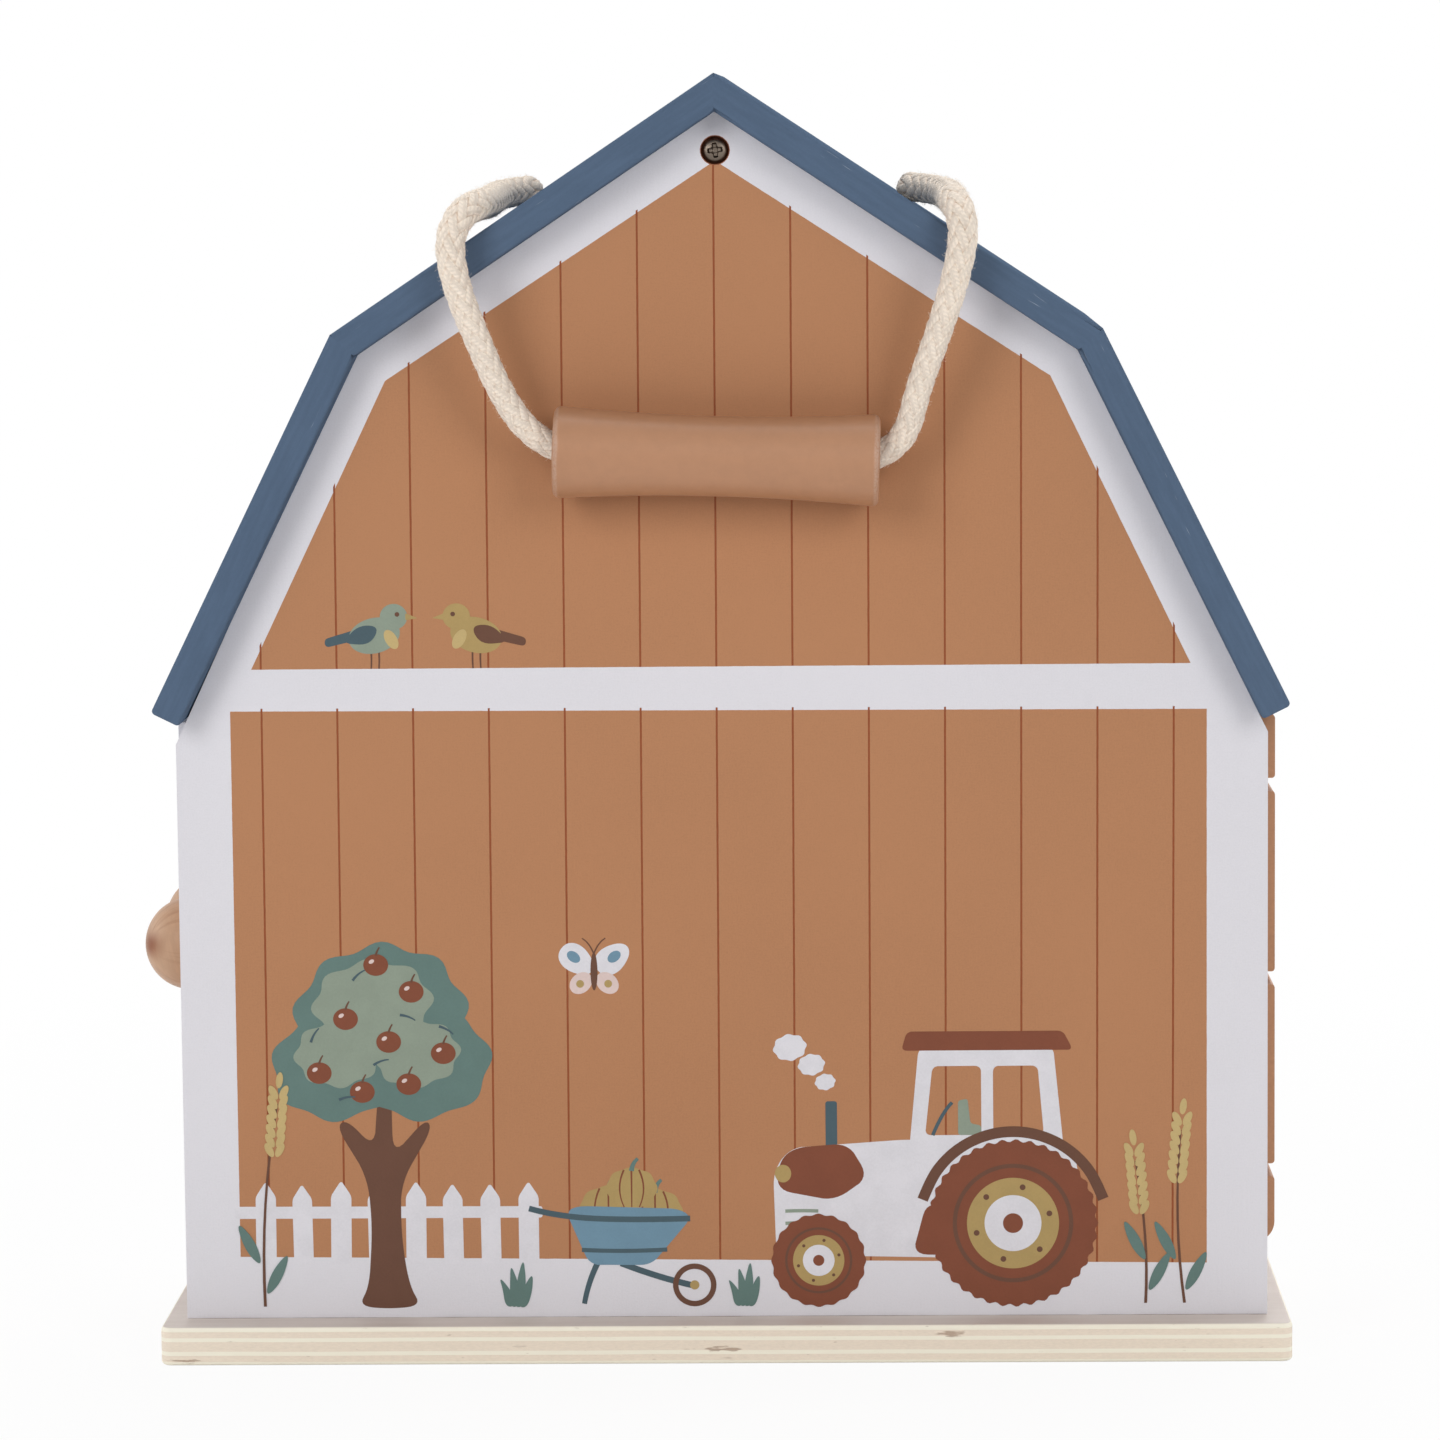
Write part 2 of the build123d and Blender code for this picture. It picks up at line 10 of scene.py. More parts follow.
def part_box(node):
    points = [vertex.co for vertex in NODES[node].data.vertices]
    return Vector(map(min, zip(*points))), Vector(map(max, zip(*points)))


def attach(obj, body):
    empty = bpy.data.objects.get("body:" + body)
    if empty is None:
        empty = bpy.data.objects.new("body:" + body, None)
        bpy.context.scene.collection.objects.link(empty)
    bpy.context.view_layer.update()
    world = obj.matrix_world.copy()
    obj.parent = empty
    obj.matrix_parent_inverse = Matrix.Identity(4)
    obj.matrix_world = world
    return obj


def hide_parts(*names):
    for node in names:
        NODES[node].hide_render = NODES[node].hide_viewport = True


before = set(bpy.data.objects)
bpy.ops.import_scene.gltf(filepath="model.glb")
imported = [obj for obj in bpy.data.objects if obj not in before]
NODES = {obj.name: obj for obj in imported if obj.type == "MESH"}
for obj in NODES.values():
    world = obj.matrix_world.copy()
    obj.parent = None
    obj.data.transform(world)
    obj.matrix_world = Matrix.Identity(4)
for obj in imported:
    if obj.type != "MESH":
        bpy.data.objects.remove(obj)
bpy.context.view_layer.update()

bl_info = {
    "name": "Toy farmhouse finish",
    "version": (1, 0, 0),
    "blender": (4, 5, 0),
    "location": "View3D > Sidebar > Farmhouse",
    "description": "Paint, print, plaited rope and turned wood for a toy farmhouse",
    "category": "Add Mesh",
}

MM = 0.001

# Where the gable's face and the base's top are, in millimetres
GABLE_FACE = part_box("front_gable")[0].y / MM
BASE_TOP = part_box("base_board")[1].z / MM

# The roof's outer corners on the right, and how far its rope holes are from the middle, in metres
APEX = Vector((0.0, 0.0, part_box("roof_right_upper")[1].z))
KNEE = Vector((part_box("roof_right_upper")[1].x, 0.0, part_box("roof_right_lower")[1].z))
EAVE = Vector((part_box("roof_right_lower")[1].x, 0.0, 168.3 * MM))
ROPE_HOLE = 48.0 * MM


# Colour helpers


def linear(red, green, blue):
    """A printed colour from 0 to 255 as the linear colour that a shader takes."""
    values = []
    for value in (red, green, blue):
        share = value / 255
        values.append(share / 12.92 if share <= 0.04045 else ((share + 0.055) / 1.055) ** 2.4)
    return tuple(values)


def opaque(colour):
    return (colour[0], colour[1], colour[2], 1.0)


def shade(colour, factor):
    """A colour made darker, or lighter where factor is above 1."""
    return tuple(min(1.0, c * factor) for c in colour[:3])


# Node trees


class Value:
    """An output of a node, so that masks and sizes are written as sums and products."""

    def __init__(self, graph, socket):
        self.graph = graph
        self.socket = socket

    def other(self, name):
        """Another output of the same node."""
        return Value(self.graph, self.socket.node.outputs[name])

    def __add__(self, other):
        return self.graph.math("ADD", self, other)

    def __radd__(self, other):
        return self.graph.math("ADD", other, self)

    def __sub__(self, other):
        return self.graph.math("SUBTRACT", self, other)

    def __rsub__(self, other):
        return self.graph.math("SUBTRACT", other, self)

    def __mul__(self, other):
        return self.graph.math("MULTIPLY", self, other)

    def __rmul__(self, other):
        return self.graph.math("MULTIPLY", other, self)

    def __truediv__(self, other):
        return self.graph.math("DIVIDE", self, other)

    def __gt__(self, other):
        return self.graph.math("GREATER_THAN", self, other)

    def __lt__(self, other):
        return self.graph.math("LESS_THAN", self, other)

    def __abs__(self):
        return self.graph.math("ABSOLUTE", self)


class Graph:
    """Nodes in the making, in a material, the world or a geometry tree."""

    def __init__(self, tree):
        self.tree = tree

    def node(self, kind, settings=None, inputs=None, out=0):
        """One node: its settings first, then the values or links of its sockets."""
        made = self.tree.nodes.new(kind)
        for key, value in (settings or {}).items():
            if key == "bands":
                set_bands(made.color_ramp, value)
            else:
                setattr(made, key, value)
        for key, value in (inputs or {}).items():
            self.feed(made.inputs[key], value)
        return Value(self, made.outputs[out])

    def found(self, name):
        """The first output of a node that Blender has put in the tree."""
        return Value(self, self.tree.nodes[name].outputs[0])

    def feed(self, socket, value):
        """Links one value to a socket, or several in a list, or sets what is the same everywhere."""
        if isinstance(value, (Value, list)):
            for one in value if isinstance(value, list) else [value]:
                self.tree.links.new(one.socket, socket)
        elif isinstance(value, tuple) and len(value) == 3 and socket.type == "RGBA":
            socket.default_value = opaque(value)
        else:
            socket.default_value = value

    def math(self, operation, *values):
        return self.node("ShaderNodeMath", {"operation": operation}, dict(enumerate(values)))

    def vector(self, operation, *values):
        return self.node("ShaderNodeVectorMath", {"operation": operation}, dict(enumerate(values)))

    def scaled(self, vector, factor):
        return self.node("ShaderNodeVectorMath", {"operation": "SCALE"}, {0: vector, "Scale": factor})

    def split(self, vector):
        """A vector as its three numbers."""
        first = self.node("ShaderNodeSeparateXYZ", {}, {0: vector})
        return first, first.other("Y"), first.other("Z")

    def joined(self, across=0.0, behind=0.0, up=0.0):
        """Three numbers as a vector."""
        return self.node("ShaderNodeCombineXYZ", {}, {0: across, 1: behind, 2: up})

    def length(self, one, two):
        """How far a point lies from an axis, by its distances along two others."""
        return self.math("SQRT", one * one + two * two)

    def largest(self, one, two):
        return self.math("MAXIMUM", one, two)


def set_bands(ramp, bands):
    """Plain tones one after another, each from its own place up to the next."""
    ramp.interpolation = "CONSTANT"
    while len(ramp.elements) < len(bands):
        ramp.elements.new(0.5)
    for element, (place, colour) in zip(ramp.elements, bands):
        element.position = place
        element.color = opaque(colour)


class Paint(Graph):
    """A finish in the making: a material, its shader and what feeds it."""

    def __init__(self, name):
        self.material = bpy.data.materials.new(name)
        self.material.use_nodes = True
        super().__init__(self.material.node_tree)
        self.shader = self.tree.nodes["Principled BSDF"]

    def smooth(self, value, low, high):
        """0 below low, 1 above high, and smooth between."""
        settings = {"interpolation_type": "SMOOTHSTEP"}
        return self.node("ShaderNodeMapRange", settings, {0: value, 1: low, 2: high})

    def between(self, value, low, high):
        return (value > low) * (value < high)

    def place(self):
        """Where a point lies on the object, in millimetres."""
        return self.scaled(self.node("ShaderNodeTexCoord", out="Object"), 1 / MM)

    def facing(self):
        """The surface's own direction, as three numbers."""
        return self.split(self.node("ShaderNodeNewGeometry", out="Normal"))

    def cloud(self, place, size, stretch=(1, 1, 1), turn=0.0, detail=3.0, roughness=0.5):
        """Soft noise from 0 to 1, its spots about size millimetres wide, stretched and turned about Y."""
        turned = self.node("ShaderNodeVectorRotate", {"rotation_type": "Y_AXIS"}, {0: place, "Angle": turn})
        scaled = self.vector("MULTIPLY", turned, tuple(1 / (size * s) for s in stretch))
        settings = {"Vector": scaled, "Detail": detail, "Scale": 1.0, "Roughness": roughness}
        return self.node("ShaderNodeTexNoise", {}, settings)

    def mix(self, share, low, high):
        """A colour between low and high."""
        return self.node("ShaderNodeMix", {"data_type": "RGBA"}, {0: share, 6: low, 7: high}, out=2)

    def toned(self, tone, colour, dark, light):
        """A colour that goes from dark to light, as shares of itself, as tone goes from 0 to 1."""
        return self.mix(tone, shade(colour, dark), shade(colour, light))

    def attribute(self, name):
        return self.node("ShaderNodeAttribute", {"attribute_name": name}, out="Fac")

    def finish(self, colour, roughness, height=None, depth=0.05, **fixed):
        """Feeds the shader its colour, roughness and relief of depth millimetres.
        What is fixed all over goes on the shader's own sockets."""
        self.feed(self.shader.inputs["Base Color"], colour)
        self.feed(self.shader.inputs["Roughness"], roughness)
        if height is not None:
            relief = self.node("ShaderNodeBump", {}, {"Distance": depth * MM, "Height": height})
            self.feed(self.shader.inputs["Normal"], relief)
        for name, value in fixed.items():
            self.shader.inputs[name.replace("_", " ")].default_value = value
        return self.material


def seen_directly(graph):
    """1 for what the camera sees straight, in a mirror or through glass, and 0 for light on other things."""
    ray = graph.node("ShaderNodeLightPath", out="Is Camera Ray")
    seen = graph.largest(ray, ray.other("Is Glossy Ray"))
    return graph.largest(seen, ray.other("Is Transmission Ray"))


# What a user would change


def colour_property(name, description, rgb):
    """A colour that a user picks, with its default as printed values from 0 to 255."""
    return bpy.props.FloatVectorProperty(
        name=name, description=description, default=linear(*rgb), subtype="COLOR", size=3, min=0.0, max=1.0
    )


def length_property(name, description, value, low=0.0):
    """A length in metres."""
    return bpy.props.FloatProperty(
        name=name, description=description, default=value, min=low, unit="LENGTH", precision=5
    )


def power_property(name, description, value):
    """The power of a lamp in watts."""
    return bpy.props.FloatProperty(name=name, description=description, default=value, min=0.0, unit="POWER")


class FarmhouseColours(bpy.types.PropertyGroup):
    field: colour_property("Field", "Printed boards of the gable", (178, 125, 87))
    line: colour_property("Plank line", "Thin lines between the printed boards", (142, 73, 36))
    trim: colour_property("Trim", "Off-white trim and painted frame", (224, 222, 227))
    roof: colour_property("Roof", "Grey-blue roof paint", (88, 106, 129))
    turned: colour_property("Grip", "Matt paint of the grip, the doors and the ramp", (183, 133, 98))
    beech: colour_property("Beech", "Bare turned knobs", (198, 161, 132))
    ply_light: colour_property("Light ply", "Plies cut along the grain", (255, 246, 228))
    ply_dark: colour_property("Dark ply", "Plies cut across the grain", (243, 229, 210))
    cotton: colour_property("Cotton", "Plaited rope", (247, 233, 217))


class FarmhousePrint(bpy.types.PropertyGroup):
    pitch: length_property("Plank pitch", "From one plank line to the next", 19.375 * MM)
    line_width: length_property("Line width", "Width of a plank line", 0.5 * MM)
    first_line: length_property("Line place", "Place of the line nearest the middle", -1.15 * MM, -10 * MM)
    overrun: length_property("Overrun", "How far a plank line runs into the trim above it", 0.7 * MM)


class FarmhouseRope(bpy.types.PropertyGroup):
    diameter: length_property("Diameter", "Rope over its strands", 7.6 * MM)
    lay: length_property("Lay", "Length in which a strand goes once round", 38.0 * MM)
    strands: bpy.props.IntProperty(
        name="Strands", description="Strands that wind each way", default=8, min=4, max=16
    )
    fibres: bpy.props.FloatProperty(
        name="Loose fibres", description="Loose fibres per square metre of rope", default=1060000.0, min=0.0
    )


class FarmhouseStudio(bpy.types.PropertyGroup):
    key_power: power_property("Key", "Power of the large lamp, upper left", 4.45)
    fill_power: power_property("Fill", "Power of the soft lamp on the right", 3.4)
    back_power: power_property("Back", "Power of the soft lamp behind", 6.5)
    side_power: power_property("Sides", "Power of each lamp beside the house", 4.0)
    top_power: power_property("Top", "Power of the soft lamp above the house", 7.0)
    sky: bpy.props.FloatProperty(
        name="Sky", description="Strength of the light from all round", default=0.25, min=0.0
    )


def rgb(name):
    """One of the user's colours as a plain tuple."""
    return tuple(getattr(bpy.context.scene.farmhouse_colours, name))


# Camera, floor and light

# What the lamps look at, in metres
LIT_POINT = Vector((0.0, -0.04, 0.16))


def add_to_scene(name, data):
    """An object of a mesh, curve, lamp or camera, in the scene and at the origin."""
    item = bpy.data.objects.new(name, data)
    bpy.context.scene.collection.objects.link(item)
    return item


def lamp(name, place, width, height, power):
    """A soft rectangular lamp that looks at the middle of the house."""
    data = bpy.data.lights.new(name, "AREA")
    data.shape = "RECTANGLE"
    data.size = width
    data.size_y = height
    data.energy = power
    item = add_to_scene(name, data)
    item.location = place
    item.rotation_mode = "QUATERNION"
    item.rotation_quaternion = (LIT_POINT - Vector(place)).to_track_quat("-Z", "Y")


def floor_finish():
    """Pale floor that keeps the shadow round the object and runs out into white."""
    paint = Paint("floor")
    x, y = paint.split(paint.place())[:2]
    white = paint.smooth(paint.length(x, y), 180.0, 700.0) * 0.08 + 0.92
    paint.finish((0.9, 0.9, 0.9), 0.9, Specular_IOR_Level=0.0)
    glow = paint.node("ShaderNodeEmission", {}, {"Color": (1.0, 1.0, 1.0), "Strength": 1.0})
    parts = {0: seen_directly(paint) * white, 1: paint.found("Principled BSDF"), 2: glow}
    both = paint.node("ShaderNodeMixShader", {}, parts)
    paint.feed(paint.tree.nodes["Material Output"].inputs["Surface"], both)
    return paint.material


def white_world(strength):
    """Weak light from all round, and plain white where the camera sees past the floor."""
    world = bpy.data.worlds.new("studio")
    bpy.context.scene.world = world
    world.use_nodes = True
    graph = Graph(world.node_tree)
    sky = graph.found("Background")
    graph.feed(sky.socket.node.inputs["Color"], (0.97, 0.98, 1.0))
    graph.feed(sky.socket.node.inputs["Strength"], strength)
    white = graph.node("ShaderNodeBackground", {}, {"Color": (1.0, 1.0, 1.0)})
    both = graph.node("ShaderNodeMixShader", {}, {0: seen_directly(graph), 1: sky, 2: white})
    graph.feed(graph.tree.nodes["World Output"].inputs["Surface"], both)


def photo_camera():
    """Camera with a long lens in front of the gable, a little to the right and looking slightly down."""
    yaw, pitch, roll = (math.radians(a) for a in (1.463, 6.177, -0.553))
    forward = Vector((-math.sin(yaw) * math.cos(pitch), math.cos(yaw) * math.cos(pitch), -math.sin(pitch)))
    right = Vector((math.cos(yaw), math.sin(yaw), 0.0))
    up = right.cross(forward)
    rolled_right = right * math.cos(roll) + up * math.sin(roll)
    rolled_up = up * math.cos(roll) - right * math.sin(roll)
    data = bpy.data.cameras.new("camera")
    data.sensor_width = 36.0
    data.lens = 136.53
    data.clip_end = 20.0
    camera = add_to_scene("camera", data)
    turn = Matrix((rolled_right, rolled_up, -forward)).transposed().to_4x4()
    place = Vector((0.03524, -1.43027, 0.31431))
    camera.matrix_world = Matrix.Translation(place) @ turn
    bpy.context.scene.camera = camera


class FARMHOUSE_OT_studio(bpy.types.Operator):
    """Camera, pale floor, white surroundings and soft lamps"""

    bl_idname = "farmhouse.studio"
    bl_label = "Studio"

    def execute(self, context):
        studio = context.scene.farmhouse_studio
        photo_camera()
        white_world(studio.sky)
        context.scene.view_settings.view_transform = "Standard"
        lamp("key", (-0.60, -0.98, 0.62), 0.48, 0.60, studio.key_power)
        lamp("fill", (0.60, -0.98, 0.62), 0.48, 0.60, studio.fill_power)
        lamp("back", (0.3, 1.3, 0.8), 1.2, 1.0, studio.back_power)
        lamp("top", (0.0, 0.3, 1.35), 0.9, 0.7, studio.top_power)
        lamp("left", (-1.25, 0.15, 0.45), 0.9, 0.7, studio.side_power)
        lamp("right", (1.25, 0.15, 0.45), 0.9, 0.7, studio.side_power)
        reach = 12.0
        corners = [(-reach, -reach, 0), (reach, -reach, 0), (reach, reach, 0), (-reach, reach, 0)]
        mesh = bpy.data.meshes.new("floor")
        mesh.from_pydata(corners, [], [(0, 1, 2, 3)])
        mesh.materials.append(floor_finish())
        add_to_scene("floor", mesh)
        return {"FINISHED"}


# Finishes

# Edges of the printed board fields, in millimetres to the right of the middle and above the base's underside
FIELD_SIDES = (-125.2, 123.7)
FIELD_FOOT = 24.75
FOOT_TILT = 0.0104
RAIL_FOOT = 167.1
RAIL_TILT = 0.004
RAIL_TOP = 178.3
UPPER_HALF_WIDTH = 119.6
UPPER_NARROWING = 0.4826
UPPER_APEX = 306.4
UPPER_FALL = 0.6506

# Radius of the bore of the screw under the apex, in millimetres
BORE_RADIUS = 3.75


def field_mask(paint, x, z, over):
    """1 on the boards above and below the rail, with their upper edges moved up or out by over."""
    side = abs(x)
    foot, top = FIELD_FOOT - x * FOOT_TILT, RAIL_FOOT - x * RAIL_TILT + over
    lower = paint.between(x, *FIELD_SIDES) * (z > foot) * (z < top)
    beside = side < UPPER_HALF_WIDTH - (z - RAIL_TOP) * UPPER_NARROWING + over
    below = z < UPPER_APEX - side * UPPER_FALL + over
    return lower + (z > RAIL_TOP) * beside * below


def print_finish():
    """Front gable: board fields with thin plank lines inside an off-white trim, on primed wood."""
    sizes = bpy.context.scene.farmhouse_print
    pitch = sizes.pitch / MM
    paint = Paint("front_print")
    place = paint.place()
    x, y, z = paint.split(place)
    front = y < GABLE_FACE + 0.05
    ragged = (paint.cloud(place, 2.5, detail=2.0) - 0.5) * 0.12
    x, z = x + ragged, z + ragged
    steps = (x - (z - 85.0) * 0.003 - sizes.first_line / MM) / pitch + 0.5
    apart = abs(paint.math("FRACT", steps) - 0.5) * pitch
    line = (apart < sizes.line_width / MM / 2) * field_mask(paint, x, z, sizes.overrun / MM) * front
    fine = paint.cloud(place, 0.45, detail=2.0)
    weave = paint.cloud(place, 0.35, stretch=(6, 1, 1)) + paint.cloud(place, 0.35, stretch=(1, 1, 6))
    tone = paint.smooth(fine * 0.45 + weave * 0.2 + paint.cloud(place, 55.0) * 0.35, 0.3, 0.72)
    field = paint.toned(tone, rgb("field"), 0.93, 1.07)
    trim = paint.toned(tone, rgb("trim"), 0.96, 1.03)
    ink = paint.toned(paint.cloud(place, 1.2), rgb("line"), 0.85, 1.2)
    colour = paint.mix(field_mask(paint, x, z, 0.0) * front, trim, field)
    colour = paint.mix(line, colour, ink)
    grain = paint.cloud(place, 0.7, stretch=(1, 1, 14), detail=4.0)
    bare = paint.mix(grain, linear(138, 78, 50), linear(176, 112, 78))
    colour = paint.mix(bare_bore(paint, fine, front), colour, bare)
    height = fine * 0.5 + grain * 0.5 - line * 0.6
    return paint.finish(colour, 0.52 + fine * 0.14, height, 0.05, Specular_IOR_Level=0.35)


def bare_bore(paint, fine, front):
    """1 on the wall and the rim of the screw's bore under the apex, where the wood shows under the paint."""
    low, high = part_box("gable_screws")
    x, y, z = paint.split(paint.place())
    away = paint.length(x, z - (low.z + high.z) / 2 / MM)
    wall = (away < BORE_RADIUS) * (y > GABLE_FACE + 0.05) * (y < GABLE_FACE + 4.0)
    rim = paint.smooth(away + (fine - 0.5) * 0.3, BORE_RADIUS + 0.1, BORE_RADIUS - 0.05) * front
    return paint.largest(wall, rim)


def painted_finish(name, colour, stretch):
    """Matt paint on wood, with small brush marks and faint grain under it, drawn out by stretch."""
    paint = Paint(name)
    tone, grain, fine = brushed_tone(paint, stretch)
    coat = paint.toned(tone, colour, 0.93, 1.07)
    return paint.finish(coat, 0.5 + fine * 0.12, grain * 0.6 + fine * 0.4, 0.06, Specular_IOR_Level=0.4)


def brushed_tone(paint, stretch, turn=0.0):
    """Tone of brushed paint, and the noises of its relief: grain drawn out by stretch, and fine marks."""
    place = paint.place()
    grain = paint.cloud(place, 1.1, stretch=stretch, turn=turn, detail=5.0, roughness=0.6)
    broad = paint.cloud(place, 38.0, detail=2.0)
    fine = paint.cloud(place, 0.5, detail=2.0)
    return paint.smooth(grain * 0.5 + broad * 0.35 + fine * 0.15, 0.34, 0.66), grain, fine


def roof_finish(name, slope):
    """Matt paint on a roof board, whose grain runs up the slope, with paler rubbed streaks."""
    paint = Paint(name)
    tone, grain, fine = brushed_tone(paint, (10, 10, 1), slope)
    place = paint.place()
    streak = paint.cloud(place, 0.55, stretch=(16, 1, 1), turn=slope, detail=2.0)
    spots = paint.cloud(place, 9.0, detail=2.0)
    rubbed = paint.smooth(streak, 0.66, 0.78) * paint.smooth(spots, 0.5, 0.68) * 0.5
    coat = paint.mix(rubbed, paint.toned(tone, rgb("roof"), 0.93, 1.07), linear(196, 204, 212))
    return paint.finish(coat, 0.6 + fine * 0.12, grain * 0.6 + fine * 0.4, 0.06, Specular_IOR_Level=0.0)


def grip_finish():
    """Satin paint on the turned grip, with a painted highlight on the rounded rims of its ends."""
    paint = Paint("grip_paint")
    tone, grain, fine = brushed_tone(paint, (3, 3, 3))
    end_on = abs(paint.facing()[0])
    # Painted highlight: a pale band where the surface turns round the rims of the grip's ends.
    rim = paint.smooth(end_on, 0.1, 0.4) * paint.smooth(end_on, 0.97, 0.85) * paint.smooth(fine, 0.2, 0.6)
    coat = paint.toned(tone, shade(rgb("turned"), 0.95), 0.96, 1.04)
    coat = paint.mix(rim * 0.14, coat, linear(226, 222, 220))
    satin = {"Specular_IOR_Level": 0.4, "Coat_Weight": 0.35, "Coat_Roughness": 0.28}
    return paint.finish(coat, 0.42 + fine * 0.12, grain * 0.6 + fine * 0.4, 0.04, **satin)


# Where each ply of the base begins, light and dark in turn, as a share of its thickness from below
PLIES = (0.0, 0.09, 0.255, 0.36, 0.615, 0.715, 0.875)
# Dark knots in the plies: across and up in millimetres, and half of their width
PLY_KNOTS = ((-2.0, 3.9, 10.0), (58.0, 7.6, 6.0), (-139.0, 1.4, 6.0))


def ply_edge(paint, cross, along):
    """The board's edge: light plies cut along the grain, dark ones cut across it, pores, stains and knots."""
    place = paint.place()
    x, z = paint.split(place)[::2]
    wave = (paint.cloud(place, 26.0, stretch=(2, 2, 1), detail=2.0) - 0.5) * 0.5
    bands = [(start, (0, 0, 0) if n % 2 else (1, 1, 1)) for n, start in enumerate(PLIES)]
    tone = paint.node("ShaderNodeValToRGB", {"bands": bands}, {0: (z + wave) / BASE_TOP})
    tone = paint.node("ShaderNodeRGBToBW", {}, {0: tone})
    dark = paint.toned(cross, rgb("ply_dark"), 0.9, 1.08)
    edge = paint.mix(tone, dark, paint.toned(along, rgb("ply_light"), 0.96, 1.05))
    pores = paint.smooth(paint.cloud(place, 1.1, stretch=(3, 3, 0.6), detail=2.0), 0.7, 0.8)
    edge = paint.mix(pores * 0.35, edge, linear(150, 118, 92))
    stains = paint.smooth(paint.cloud(place, 7.0, stretch=(2.5, 2.5, 0.5), detail=3.0), 0.72, 0.8)
    edge = paint.mix(stains * 0.55, edge, linear(128, 94, 68))
    speckle = paint.cloud(place, 1.6, stretch=(3, 3, 0.5), detail=3.0)
    for middle, height, reach in PLY_KNOTS:
        away = abs(x - middle) / reach + abs(z - height) / 1.1
        knot = paint.smooth(away + (0.5 - speckle) * 3.4, 0.75, 0.3) * 0.6
        edge = paint.mix(knot, edge, linear(140, 98, 70))
    return edge


def ply_finish():
    """Base board: seven plies at the edge, a lacquered veneer, and a line of painted shade along the gable's
    foot, in the gap between gable and base.
    """
    paint = Paint("plywood")
    place = paint.place()
    x, y = paint.split(place)[:2]
    cross = paint.cloud(place, 0.5, stretch=(2.2, 2.2, 0.7), detail=4.0)
    along = paint.cloud(place, 0.6, stretch=(14, 14, 1), detail=3.0)
    figure = paint.cloud(place, 3.0, stretch=(18, 1, 1), detail=5.0)
    veneer = paint.mix(figure, linear(202, 189, 180), linear(217, 207, 199))
    flat = paint.smooth(abs(paint.facing()[2]), 0.75, 0.95)
    colour = paint.mix(flat, ply_edge(paint, cross, along), veneer)
    # Painted shade: a ragged dark line on the base's top along the gable's face, standing for the shade in
    # the gap where the gable stands on it.
    ragged = paint.cloud(place, 9.0, detail=2.0) * 1.6
    foot = paint.smooth(abs(y - GABLE_FACE) + ragged, 1.5, 0.9) * (abs(x) < 139.0)
    colour = paint.mix(foot * flat * 0.8, colour, linear(104, 66, 46))
    return paint.finish(colour, 0.42 + cross * 0.15, cross * 0.6 + along * 0.4, 0.05, Specular_IOR_Level=0.4)


def beech_finish():
    """Oiled beech: faint grain, rays from a dark heart beside each knob's middle, and painted shade that
    darkens the tip.
    """
    paint = Paint("turned_beech")
    place = paint.place()
    y, z = paint.split(place)[1:]
    low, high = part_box("door_front_knob")
    across = abs(y) - abs(low.y + high.y) / 2 / MM
    up = z - (low.z + high.z) / 2 / MM
    grain = paint.cloud(place, 1.2, stretch=(1, 1, 8), turn=0.2, detail=5.0, roughness=0.6)
    broad = paint.cloud(place, 6.0, stretch=(1, 1, 2), detail=2.0)
    wood = paint.toned(paint.smooth(grain * 0.5 + broad * 0.5, 0.3, 0.7), rgb("beech"), 0.92, 1.06)
    beside, above = across - 6.4, up - 0.7
    away = paint.math("SQRT", beside * beside + above * above + 0.01)
    spokes = paint.joined(beside / away * 5.0, above / away * 5.0, away * 0.1)
    rays = paint.smooth(paint.cloud(spokes, 1.0, detail=3.0), 0.48, 0.75)
    wood = paint.mix(rays * 0.5, wood, linear(158, 112, 82))
    heart = paint.smooth(away + broad * 2.0 + rays * 1.2, 6.0, 1.4)
    wood = paint.mix(heart * 0.85, wood, linear(132, 68, 34))
    # Painted shade: the tip, which is the knob's left side as seen from the front, is darkened to stand for
    # the shade there.
    tip = paint.smooth(paint.length(across, up), 8.5, 1.0)
    wood = paint.mix(tip * 0.3, wood, linear(140, 100, 74))
    return paint.finish(wood, 0.34 + grain * 0.12, grain, 0.02, Specular_IOR_Level=0.2)


def metal_finish(name, colour, rough):
    """Machined metal: fine turning marks and a little smear."""
    paint = Paint(name)
    place = paint.place()
    marks = paint.cloud(place, 0.25, detail=3.0)
    smear = paint.cloud(place, 1.6, detail=2.0)
    tone = paint.toned(smear, colour, 0.7, 1.25)
    return paint.finish(tone, rough + smear * 0.2, marks, 0.02, Metallic=1.0)


def rope_finish():
    """Cotton yarn: pale, with the yarn's twist across each strand and painted shade in the gaps between
    strands, where one strand dips under another.
    """
    paint = Paint("cotton_rope")
    place = paint.place()
    twist = paint.math("SINE", paint.attribute("along") * 6200.0 + paint.attribute("around") * 18.9)
    twist = twist * 0.5 + 0.5
    tuft = paint.cloud(place, 0.35, detail=3.0)
    broad = paint.cloud(place, 5.0, detail=2.0)
    tone = paint.smooth(twist * 0.25 + tuft * 0.4 + broad * 0.35, 0.25, 0.7)
    yarn = paint.toned(tone, rgb("cotton"), 0.86, 1.06)
    # Painted shade: the yarn is darkened where a strand dips under its neighbours, standing for the shade in
    # the plait's crevices.
    crevice_shade = paint.smooth(paint.attribute("depth"), 0.75, 0.1) * 0.5
    yarn = paint.mix(crevice_shade, yarn, linear(184, 148, 120))
    return paint.finish(yarn, 0.9, twist * 0.6 + tuft * 0.6, 0.12, Specular_IOR_Level=0.15, Sheen_Weight=0.25)


def fibre_finish():
    """Loose cotton, a little paler than the yarn."""
    paint = Paint("cotton_fibre")
    tone = paint.toned(paint.cloud(paint.place(), 2.0), rgb("cotton"), 0.95, 1.1)
    return paint.finish(tone, 0.9, Specular_IOR_Level=0.1)


